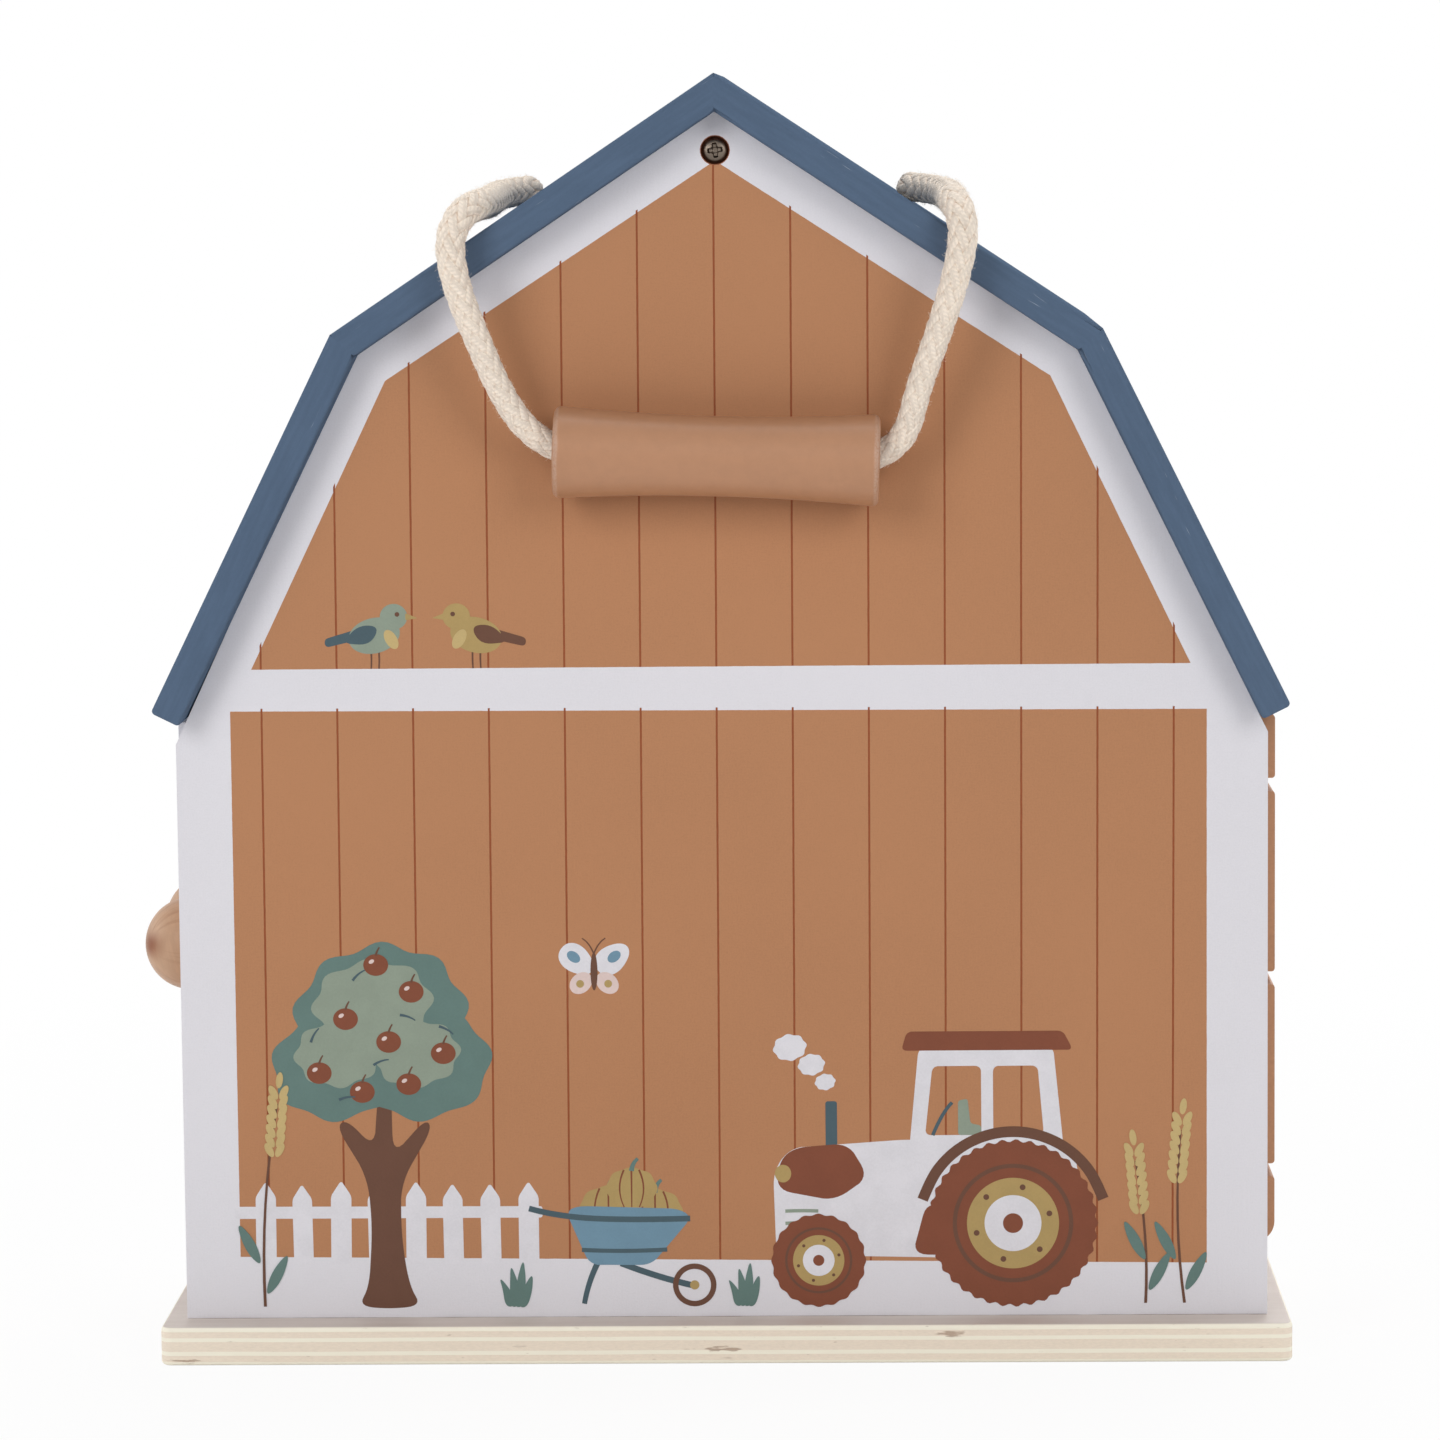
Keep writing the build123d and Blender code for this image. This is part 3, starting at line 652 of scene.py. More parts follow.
def ink_finish(name, colour):
    """Printed colour with a dry, slightly uneven tone."""
    paint = Paint(name)
    place = paint.place()
    fine = paint.cloud(place, 0.5, detail=3.0)
    broad = paint.cloud(place, 7.0, detail=2.0)
    tone = paint.toned(paint.smooth(fine * 0.4 + broad * 0.6, 0.3, 0.7), colour, 0.955, 1.045)
    return paint.finish(tone, 0.6, fine, 0.03, Specular_IOR_Level=0.3)


# Making and finishing pieces


def coat(node, finish, rounding=0.0, seams=None):
    """Gives a CAD node its finish, and rounds its sharp edges where rounding, in millimetres, is above 0.
    Where seams is a tree of bevel weights, the edges that it leaves at 0 stay sharp."""
    item = NODES[node]
    item.data.materials.clear()
    item.data.materials.append(finish)
    if rounding:
        weld = item.modifiers.new("weld", "WELD")
        weld.merge_threshold = 0.01 * MM
        if seams:
            item.modifiers.new("seams", "NODES").node_group = seams
        bevel = item.modifiers.new("rounding", "BEVEL")
        bevel.width = rounding * MM
        bevel.segments = 3
        bevel.limit_method = "WEIGHT" if seams else "ANGLE"
        bevel.angle_limit = math.radians(35)
        bevel.harden_normals = True


def link(name, mesh, body, slot, *replaced):
    """A new piece that rides on a body and stands for the CAD nodes that it replaces; slot is not used."""
    item = add_to_scene(name, mesh)
    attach(item, body)
    if replaced:
        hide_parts(*replaced)
    return item


def plain_mesh(item, name):
    """The item's evaluated shape as a mesh of its own."""
    graph = bpy.context.evaluated_depsgraph_get()
    mesh = bpy.data.meshes.new_from_object(item.evaluated_get(graph), depsgraph=graph)
    mesh.name = name
    return mesh


# Trees of geometry nodes


class Tree(Graph):
    """A geometry node tree in the making, with a named input for each of its sizes."""

    def __init__(self, name, inputs):
        super().__init__(bpy.data.node_groups.new(name, "GeometryNodeTree"))
        face = self.tree.interface
        face.new_socket("Geometry", in_out="INPUT", socket_type="NodeSocketGeometry")
        face.new_socket("Geometry", in_out="OUTPUT", socket_type="NodeSocketGeometry")
        for label, (kind, default) in inputs.items():
            socket = face.new_socket(label, in_out="INPUT", socket_type=f"NodeSocket{kind}")
            socket.default_value = default
        self.start = self.tree.nodes.new("NodeGroupInput")
        self.end = self.tree.nodes.new("NodeGroupOutput")

    def given(self, label):
        return Value(self, self.start.outputs[label])

    def place(self):
        return self.node("GeometryNodeInputPosition")

    def kept(self, geometry, name, kind, value, domain="POINT"):
        """The geometry with a named attribute on its points, or on another domain."""
        settings = {"data_type": kind, "domain": domain}
        inputs = {"Geometry": geometry, "Name": name, "Value": value}
        return self.node("GeometryNodeStoreNamedAttribute", settings, inputs)

    def named(self, name, kind):
        return self.node("GeometryNodeInputNamedAttribute", {"data_type": kind}, {"Name": name})

    def random(self, low, high):
        """A number between low and high, another one for each point."""
        inputs = {2: low, 3: high, "Seed": self.given("Seed")}
        return self.node("FunctionNodeRandomValue", {"data_type": "FLOAT"}, inputs, out=1)

    def circle(self, radius, corners):
        inputs = {"Resolution": corners, "Radius": radius}
        return self.node("GeometryNodeCurvePrimitiveCircle", {"mode": "RADIUS"}, inputs)

    def swept(self, line, section, closed=True):
        """A section drawn along a line, with closed ends or open ones."""
        inputs = {"Curve": line, "Profile Curve": section, "Fill Caps": closed}
        return self.node("GeometryNodeCurveToMesh", {}, inputs)

    def finish(self, geometry, material):
        """Ends the tree with real geometry in the material."""
        real = self.node("GeometryNodeRealizeInstances", {}, {0: geometry})
        dressed = self.node("GeometryNodeSetMaterial", {}, {"Geometry": real, "Material": material})
        self.feed(self.end.inputs[0], dressed)
        return self.tree


def run_tree(item, tree, values, name):
    """The plain mesh that a tree makes of an item, whose modifier is taken off again."""
    modifier = item.modifiers.new(tree.name, "NODES")
    modifier.node_group = tree
    sockets = [s for s in tree.interface.items_tree if s.item_type == "SOCKET" and s.in_out == "INPUT"]
    for socket in sockets:
        if socket.name in values:
            modifier[socket.identifier] = values[socket.name]
    mesh = plain_mesh(item, name)
    item.modifiers.remove(modifier)
    return mesh


def seam_tree(material):
    """Bevel weights for a roof board: 1 on its sharp edges, 0 where it meets its neighbour."""
    seam = (KNEE - APEX).normalized() + (EAVE - KNEE).normalized()
    sizes = {
        "Knee": ("Vector", tuple(KNEE)),
        "Across seam": ("Vector", tuple(seam.normalized())),
        "Sharp from": ("Float", 0.6),
        "On seam within": ("Float", 0.05 * MM),
    }
    tree = Tree("Roof seams", sizes)
    place = tree.vector("ABSOLUTE", tree.place())
    from_apex = tree.split(place)[0]
    reach = tree.vector("SUBTRACT", place, tree.given("Knee"))
    from_knee = abs(tree.vector("DOT_PRODUCT", reach, tree.given("Across seam")).other("Value"))
    weight = tree.node("GeometryNodeInputMeshEdgeAngle") > tree.given("Sharp from")
    for away in (from_apex, from_knee):
        weight = weight * (away > tree.given("On seam within"))
    weighted = tree.kept(tree.given("Geometry"), "bevel_weight_edge", "FLOAT", weight, "EDGE")
    return tree.finish(weighted, material)


# Plaited rope, made along a route


def ball_end(tree, run):
    """What makes a rope's ends round: how much of its radius is left, and its shift along itself."""
    radius = tree.given("Radius")
    left = tree.node("GeometryNodeSplineLength") - run
    share, shift = 1.0, 0.0
    for away, sign in ((run, -1.0), (left, 1.0)):
        near = 1.0 - tree.math("MINIMUM", away / radius, 1.0)
        beyond = tree.largest(near * 2.0 - 1.0, 0.0)
        share = share - beyond * beyond
        shift = shift + near * sign
    share = tree.math("SQRT", tree.largest(share, 0.02))
    return share, shift * radius


def strand_set(tree, route, sense):
    """The strands that wind one way round the route, passing over two and under two of the others."""
    count = tree.given("Strands")
    copied = {"Geometry": route, "Amount": count}
    copies = tree.node("GeometryNodeDuplicateElements", {"domain": "SPLINE"}, copied)
    index = copies.other("Duplicate Index")
    run = tree.node("GeometryNodeSplineParameter", out="Length")
    along = run / tree.given("Lay")
    angle = (along * sense + index / count) * (2 * math.pi)
    phase = (along * count * 2.0 + index * (2.0 * sense)) * (math.pi / 2) - sense * math.pi / 4
    rise = tree.math("COSINE", phase) * sense
    radius = (tree.given("Radius") + rise * tree.given("Weave")) * tree.node("GeometryNodeInputRadius")
    normal = tree.node("GeometryNodeInputNormal")
    tangent = tree.node("GeometryNodeInputTangent")
    across = tree.vector("CROSS_PRODUCT", tangent, normal)
    ahead = tree.scaled(normal, tree.math("COSINE", angle))
    outward = tree.vector("ADD", ahead, tree.scaled(across, tree.math("SINE", angle)))
    share, shift = ball_end(tree, run)
    offset = tree.vector("ADD", tree.scaled(outward, radius * share), tree.scaled(tangent, shift))
    lines = tree.kept(copies, "outward", "FLOAT_VECTOR", outward)
    lines = tree.kept(lines, "offset", "FLOAT_VECTOR", offset)
    lines = tree.kept(lines, "along", "FLOAT", run)
    lines = tree.kept(lines, "depth", "FLOAT", rise * 0.5 + 0.5)
    moved = {"Geometry": lines, "Offset": tree.named("offset", "FLOAT_VECTOR")}
    lines = tree.node("GeometryNodeSetPosition", {}, moved)
    turned = {"Curve": lines, "Normal": tree.named("outward", "FLOAT_VECTOR")}
    return tree.node("GeometryNodeSetCurveNormal", {"mode": "FREE"}, turned)


def strand_section(tree):
    """Section of a strand: two yarns side by side, flatter towards the rope's middle."""
    ring = tree.kept(tree.circle(1.0, 10), "around", "FLOAT", tree.node("GeometryNodeSplineParameter"))
    x, y = tree.split(tree.place())[:2]
    waist = 0.72 + abs(y) * 0.45
    place = tree.joined(x * waist * tree.given("Thickness"), y * tree.given("Width"))
    return tree.node("GeometryNodeSetPosition", {}, {"Geometry": ring, "Position": place})


def plait_tree(material):
    """Strands that wind both ways round a route, over a plain core."""
    sizes = {
        "Strands": ("Int", 8),
        "Lay": ("Float", 0.029),
        "Radius": ("Float", 0.0031),
        "Weave": ("Float", 0.0003),
        "Width": ("Float", 0.0012),
        "Thickness": ("Float", 0.0006),
        "Step": ("Float", 0.0009),
    }
    tree = Tree("Plaited rope", sizes)
    steps = {"Curve": tree.given("Geometry"), "Length": tree.given("Step")}
    route = tree.node("GeometryNodeResampleCurve", {"mode": "LENGTH"}, steps)
    route = tree.node("GeometryNodeSetCurveNormal", {"mode": "MINIMUM_TWIST"}, {"Curve": route})
    strands = [strand_set(tree, route, sense) for sense in (1.0, -1.0)]
    strands = tree.node("GeometryNodeJoinGeometry", {}, {0: strands})
    core = tree.swept(route, tree.circle(tree.given("Radius") * 0.9, 10))
    whole = tree.node("GeometryNodeJoinGeometry", {}, {0: [core, tree.swept(strands, strand_section(tree))]})
    return tree.finish(whole, material)


def fibre_tree(material):
    """Loose fibres on the outer parts of the strands, as points scattered there with a bent hair each."""
    sizes = {"Density": ("Float", 120000.0), "Side": ("Float", 1.0), "Seed": ("Int", 7)}
    tree = Tree("Loose fibres", sizes)
    on_side = tree.split(tree.place())[0] * tree.given("Side") > 0.0
    on_top = tree.named("depth", "FLOAT") > 0.45
    scattered = {
        "Mesh": tree.given("Geometry"),
        "Selection": on_top * on_side,
        "Density": tree.given("Density"),
        "Seed": tree.given("Seed"),
    }
    spread = tree.node("GeometryNodeDistributePointsOnFaces", {"distribute_method": "RANDOM"}, scattered)
    bend = {
        "Resolution": 3,
        "Start": (0, 0, 0),
        "Start Handle": (0, 0, 0.3 * MM),
        "End": (0.6 * MM, 0.2 * MM, 0.3 * MM),
        "End Handle": (-0.1 * MM, 0.1 * MM, 0.2 * MM),
    }
    hair = tree.node("GeometryNodeCurvePrimitiveBezierSegment", {"mode": "OFFSET"}, bend)
    hair = tree.swept(hair, tree.circle(0.017 * MM, 3), closed=False)
    turns = {"Min": (-0.9, -0.9, 0.0), "Max": (0.9, 0.9, 6.28), "Seed": tree.given("Seed")}
    tilt = tree.node("FunctionNodeRandomValue", {"data_type": "FLOAT_VECTOR"}, turns)
    tilt = tree.node("FunctionNodeEulerToRotation", {}, {0: tilt})
    leaning = {0: spread.other("Rotation"), 1: tilt}
    leaning = tree.node("FunctionNodeRotateRotation", {"rotation_space": "LOCAL"}, leaning)
    copies = {"Points": spread, "Instance": hair, "Rotation": leaning, "Scale": tree.random(0.4, 1.5)}
    return tree.finish(tree.node("GeometryNodeInstanceOnPoints", {}, copies), material)


def route_curve(name, points):
    """An open smooth curve whose control points are the points, in metres.
    A fourth number is the rope's thickness there, as a share of its full thickness."""
    data = bpy.data.curves.new(name, "CURVE")
    data.dimensions = "3D"
    data.resolution_u = 16
    line = data.splines.new("NURBS")
    line.points.add(len(points) - 1)
    for point, place in zip(line.points, points):
        point.co = (*place[:3], 1.0)
        point.radius = place[3] if len(place) > 3 else 1.0
    line.order_u = 3
    line.use_endpoint_u = True
    return add_to_scene(name, data)


def outward_normals(mesh):
    """Turns every shell of a mesh outwards."""
    work = bmesh.new()
    work.from_mesh(mesh)
    bmesh.ops.recalc_face_normals(work, faces=work.faces)
    work.to_mesh(mesh)
    work.free()
    mesh.shade_smooth()


def plaited(name, points, tree, thinner=1.0):
    """A plaited rope along the points, in metres: its mesh and the line that it follows."""
    sizes = bpy.context.scene.farmhouse_rope
    outer = sizes.diameter / 2 * thinner
    item = route_curve(name, points)
    line = [v.co.copy() for v in plain_mesh(item, name + "_line").vertices]
    values = {
        "Strands": sizes.strands,
        "Lay": sizes.lay * thinner,
        "Radius": outer * 0.8,
        "Weave": outer * 0.075,
        "Width": outer * 0.315,
        "Thickness": outer * 0.17,
    }
    mesh = run_tree(item, tree, values, name)
    bpy.data.objects.remove(item)
    outward_normals(mesh)
    return mesh, line


# The handle's rope from its left hole to its right one: across, to the rear and up in metres,
# and how thick the rope is there as a share of its full thickness
ROPE_ROUTE = [
    (-0.0497, 0.0, 0.2989, 1.0),
    (-0.0562, -0.011, 0.2982, 1.0),
    (-0.0576, -0.025, 0.2971, 1.04),
    (-0.0578, -0.04, 0.2962, 1.05),
    (-0.0594, -0.0535, 0.296, 1.05),
    (-0.0632, -0.062, 0.2942, 1.03),
    (-0.0664, -0.0662, 0.287, 0.98),
    (-0.0642, -0.0662, 0.275, 0.92),
    (-0.0594, -0.0644, 0.2625, 0.86),
    (-0.0542, -0.0618, 0.2495, 0.84),
    (-0.0478, -0.0597, 0.2394, 0.85),
    (-0.0388, -0.05925, 0.2339, 0.88),
    (-0.0285, -0.05925, 0.23354, 0.88),
    (0.0285, -0.05925, 0.23156, 0.88),
    (0.0388, -0.05925, 0.2312, 0.88),
    (0.0476, -0.0596, 0.2366, 0.85),
    (0.0508, -0.0616, 0.2495, 0.84),
    (0.0556, -0.0642, 0.2625, 0.86),
    (0.06, -0.0662, 0.276, 0.92),
    (0.0624, -0.0664, 0.2875, 0.98),
    (0.0612, -0.0618, 0.2942, 1.03),
    (0.0592, -0.0535, 0.2966, 1.05),
    (0.0596, -0.04, 0.2966, 1.05),
    (0.059, -0.025, 0.2972, 1.04),
    (0.0562, -0.011, 0.2983, 1.0),
    (0.0497, 0.0, 0.2989, 1.0),
]


def knot_route(side):
    """The rope's end from its roof hole down the knot's middle, twice round it and on to the tail."""
    downhill = (KNEE - APEX).normalized()
    outward = Vector((side * -downhill.z, 0.0, downhill.x))
    across = Vector((side * downhill.x, 0.0, downhill.z))
    hole = APEX + downhill * (ROPE_HOLE / downhill.x)
    hole.x *= side

    def at(height, reach=0.0, angle=0.0):
        """A point in millimetres above the roof and away from the knot's middle, at an angle round it."""
        sideways = across * math.cos(angle) + Vector((0.0, side, 0.0)) * math.sin(angle)
        return hole + outward * (height * MM) + sideways * (reach * MM)

    points = [at(-5.5), at(-9.0), at(-13.0), at(-18.0), at(-23.0, 1.5)]
    turns, steps = 2, 12
    for n in range(turns * steps + 1):
        share = n / (turns * steps)
        reach = 5.7 + 0.6 * math.sin(math.pi * share)
        points.append(at(-24.2 + 11.6 * share, reach, 2 * math.pi * n / steps))
    points += [at(-12.4, 2.5, 0.8), at(-15.0, 0.5), at(-20.0), at(-25.0), at(-28.5, 0.4), at(-32.0, 1.2)]
    return points


class FARMHOUSE_OT_rope(bpy.types.Operator):
    """Plaited rope of the handle, with its loose fibres"""

    bl_idname = "farmhouse.rope"
    bl_label = "Handle rope"

    def execute(self, context):
        sizes = context.scene.farmhouse_rope
        mesh, line = plaited("handle_rope_plait", ROPE_ROUTE, plait_tree(rope_finish()))
        length = sum((b - a).length for a, b in zip(line, line[1:]))
        rope = link("handle_rope_plait", mesh, "handle", "rope", "handle_rope")
        fibres = fibre_tree(fibre_finish())
        for side, sense in (("left", -1.0), ("right", 1.0)):
            name = f"handle_rope_fibres_{side}"
            mesh = run_tree(rope, fibres, {"Density": sizes.fibres, "Side": sense}, name)
            link(name, mesh, "handle", "rope")
        return {"FINISHED"}


class FARMHOUSE_OT_knots(bpy.types.Operator):
    """Stopper knots of the rope under the roof"""

    bl_idname = "farmhouse.knots"
    bl_label = "Rope knots"

    def execute(self, context):
        tree = plait_tree(rope_finish())
        for name, side in (("left", -1), ("right", 1)):
            mesh = plaited(f"rope_knot_{name}_plait", knot_route(side), tree, 0.96)[0]
            link(f"rope_knot_{name}_plait", mesh, "house", "rope", f"rope_knot_{name}")
        return {"FINISHED"}


# Outside of the house


class FARMHOUSE_OT_walls(bpy.types.Operator):
    """Printed gable, open rear frame and the members between them"""

    bl_idname = "farmhouse.walls"
    bl_label = "Walls"

    def execute(self, context):
        coat("front_gable", print_finish())
        coat("rear_gable_frame", painted_finish("cream_paint", rgb("trim"), (1, 1, 9)), 0.5)
        level = painted_finish("cream_paint_level", rgb("trim"), (12, 1, 1))
        for node in ("loft_floor", "ridge_beam", "left_sill", "right_sill"):
            coat(node, level)
        for node in ("door_header", "door_stop_rail", "ramp_stop_rail"):
            coat(node, level)
        return {"FINISHED"}


class FARMHOUSE_OT_roof(bpy.types.Operator):
    """Four roof boards in grey-blue paint, rubbed a little"""

    bl_idname = "farmhouse.roof"
    bl_label = "Roof"

    def execute(self, context):
        for part, top, foot in (("upper", APEX, KNEE), ("lower", KNEE, EAVE)):
            slope = math.atan2(top.z - foot.z, foot.x - top.x)
            for side, sense in (("left", 1), ("right", -1)):
                name = f"roof_{side}_{part}"
                finish = roof_finish(name, sense * slope)
                coat(name, finish, 1.0, seam_tree(finish))
        return {"FINISHED"}


class FARMHOUSE_OT_base(bpy.types.Operator):
    """Plywood base board"""

    bl_idname = "farmhouse.base"
    bl_label = "Base board"

    def execute(self, context):
        coat("base_board", ply_finish())
        return {"FINISHED"}


class FARMHOUSE_OT_doors(bpy.types.Operator):
    """Door leaves, ramp, grip and knobs"""

    bl_idname = "farmhouse.doors"
    bl_label = "Doors, ramp and grip"

    def execute(self, context):
        leaf = painted_finish("leaf_paint", rgb("turned"), (1, 1, 9))
        beech = beech_finish()
        for door in ("front", "rear"):
            coat(f"door_{door}_leaf", leaf)
            coat(f"door_{door}_knob", beech)
        coat("ramp_board", painted_finish("ramp_paint", rgb("turned"), (1, 9, 1)))
        coat("handle_grip", grip_finish())
        return {"FINISHED"}


# Printed shapes on the gable, in millimetres to the right of the middle and above the base's underside

# Each ink as printed values from 0 to 255
INKS = {
    "white": (224, 222, 227),
    "brown": (128, 72, 50),
    "umber": (104, 70, 54),
    "ochre": (176, 150, 96),
    "straw": (196, 172, 118),
    "sage": (142, 154, 138),
    "teal": (98, 124, 118),
    "blue": (112, 146, 166),
    "slate": (72, 92, 100),
    "pink": (222, 200, 194),
}


def curve_between(start, corner, end, steps):
    """Points of a smooth curve from start to end, pulled towards the corner, without its end."""
    shares = np.linspace(0, 1, steps + 1)[:-1]
    return [(1 - t) ** 2 * start + 2 * t * (1 - t) * corner + t * t * end for t in shares]


def soft(points, radius=99.0):
    """A closed outline with its corners rounded by radius, or as round as its sides allow."""
    outline = []
    for n, corner in enumerate(points):
        corner = np.array(corner, float)
        ends = []
        for other in (points[n - 1], points[(n + 1) % len(points)]):
            side = np.array(other, float) - corner
            ends.append(corner + side * min(0.5, radius / max(np.linalg.norm(side), 1e-6)))
        outline += curve_between(ends[0], corner, ends[1], 6)
    return outline


def ring(x, z, across, up=None, turn=0.0, lobes=0, depth=0.0, steps=60):
    """A closed oval, turned by turn degrees, with lobes round it if wanted."""
    up = across if up is None else up
    angle = np.linspace(0, 2 * math.pi, steps, endpoint=False)
    size = 1 + depth * np.cos(lobes * angle)
    u, v = across * size * np.cos(angle), up * size * np.sin(angle)
    c, s = math.cos(math.radians(turn)), math.sin(math.radians(turn))
    return list(np.stack([x + u * c - v * s, z + u * s + v * c], axis=1))


def stroke(points, width, tip=None):
    """A line of some width along a smooth run of points, narrowing to tip at its end."""
    tip = width if tip is None else tip
    points = [np.array(p, float) for p in points]
    middles = [(a + b) / 2 for a, b in zip(points[1:-1], points[2:-1])]
    stops = [points[0], *middles, points[-1]]
    run = []
    for start, corner, end in zip(stops, points[1:-1], stops[1:]):
        run += curve_between(start, corner, end, 8)
    run = np.array([*run, points[-1]] if run else points)
    heading = np.gradient(run, axis=0)
    heading /= np.linalg.norm(heading, axis=1)[:, None]
    half = np.linspace(width, tip, len(run))[:, None] / 2
    side = np.stack([-heading[:, 1], heading[:, 0]], axis=1) * half
    return list(run + side) + list((run - side)[::-1])


# In millimetres: the gap below a picture's first layer, how much each layer adds, and how deep all are rooted
INK_CLEARANCE = 0.02
INK_LAYER = 0.003
INK_ROOT = 0.03


class Picture:
    """Flat shapes in millimetres across and up, each laid on the last as a very thin layer of ink.
    It starts with some layers left below it, so that it lies over another picture."""

    def __init__(self, name, layers_below=0):
        self.name = name
        self.work = bmesh.new()
        self.inks = []
        self.layers = layers_below

    def fill(self, ink, *outlines):
        """One shape of an ink: an outline, and after it any holes."""
        if ink not in self.inks:
            self.inks.append(ink)
        self.layers += 1
        front = GABLE_FACE - INK_CLEARANCE - INK_LAYER * self.layers
        triangles = tessellate_polygon([[Vector((x, z, 0)) for x, z in outline] for outline in outlines])
        near, far = (self.corners_at(outlines, y) for y in (front, GABLE_FACE + INK_ROOT))
        faces = [self.work.faces.new([near[n] for n in t]) for t in triangles]
        faces += [self.work.faces.new([far[n] for n in reversed(t)]) for t in triangles]
        start = 0
        for outline in outlines:
            count = len(outline)
            for n in range(count):
                a, b = start + n, start + (n + 1) % count
                faces.append(self.work.faces.new((near[a], near[b], far[b], far[a])))
            start += count
        for face in faces:
            face.material_index = self.inks.index(ink)

    def corners_at(self, outlines, y):
        """The outlines' points, all at one depth."""
        return [self.work.verts.new((x * MM, y * MM, z * MM)) for outline in outlines for x, z in outline]

    def mesh(self):
        bmesh.ops.recalc_face_normals(self.work, faces=self.work.faces)
        mesh = bpy.data.meshes.new(self.name)
        self.work.to_mesh(mesh)
        self.work.free()
        for ink in self.inks:
            mesh.materials.append(ink_material(ink))
        return mesh

    def place(self):
        link(self.name, self.mesh(), "house", "front_print")


def ink_material(ink):
    """An ink's finish, made once."""
    name = f"ink_{ink}"
    return bpy.data.materials.get(name) or ink_finish(name, linear(*INKS[ink]))


def row_tree(material):
    """Copies of a piece in a row, each a little larger or smaller and leaning a little."""
    sizes = {
        "Count": ("Int", 3),
        "Pitch": ("Float", 0.01),
        "Vary": ("Float", 0.0),
        "Lean": ("Float", 0.0),
        "Seed": ("Int", 1),
    }
    tree = Tree("Row", sizes)
    steps = {"Count": tree.given("Count"), "Offset": tree.joined(tree.given("Pitch"))}
    points = tree.node("GeometryNodeMeshLine", {}, steps)
    size = tree.random(1.0 - tree.given("Vary"), 1.0 + tree.given("Vary"))
    tilt = tree.random(tree.given("Lean") * -1.0, tree.given("Lean"))
    copies = {
        "Points": points,
        "Instance": tree.given("Geometry"),
        "Rotation": tree.joined(behind=tilt),
        "Scale": tree.joined(size, 1.0, size),
    }
    return tree.finish(tree.node("GeometryNodeInstanceOnPoints", {}, copies), material)


def repeated(picture, across, up, values):
    """A picture of one ink drawn about its own foot, repeated in a row that starts across and up."""
    material = ink_material(picture.inks[0])
    item = add_to_scene(picture.name + "_source", picture.mesh())
    made = run_tree(item, row_tree(material), values, picture.name)
    bpy.data.objects.remove(item)
    made.transform(Matrix.Translation((across * MM, 0.0, up * MM)))
    link(picture.name, made, "house", "front_print")


class FARMHOUSE_OT_print_fence(bpy.types.Operator):
    """Printed picket fence and the tufts of grass along the foot of the gable"""

    bl_idname = "farmhouse.print_fence"
    bl_label = "Print: fence and grass"

    def execute(self, context):
        rail = Picture("print_fence_rail")
        rail.fill("white", soft([(-126.5, 36.0), (-126.5, 39.2), (-47, 39.0), (-47, 36.0)], 0.8))
        rail.place()
        picket = Picture("print_fence_pickets", 3)
        picket.fill("white", soft([(-2.6, 0), (-2.6, 17.5), (0, 21.5), (2.6, 17.5), (2.6, 0)], 1.0))
        row = {"Count": 8, "Pitch": 9.7 * MM, "Vary": 0.03, "Lean": 0.015, "Seed": 4}
        repeated(picket, -118.5, 24.0, row)
        tuft = Picture("print_tufts", 30)
        for root, x, z in ((-1.6, -4.6, 7.2), (-0.6, -2.0, 10.4), (0.4, 1.0, 12.0), (1.4, 3.4, 8.6)):
            outer = [(root - 1.1, 0), (root * 1.6 - 0.9, z * 0.55)]
            inner = [(root * 1.6 + 1.3, z * 0.5), (root + 1.1, 0)]
            tuft.fill("teal", soft([*outer, (x, z), *inner], 2.5))
        row = {"Count": 2, "Pitch": 59.0 * MM, "Vary": 0.12, "Lean": 0.08, "Seed": 3}
        repeated(tuft, -54.0, 12.6, row)
        return {"FINISHED"}


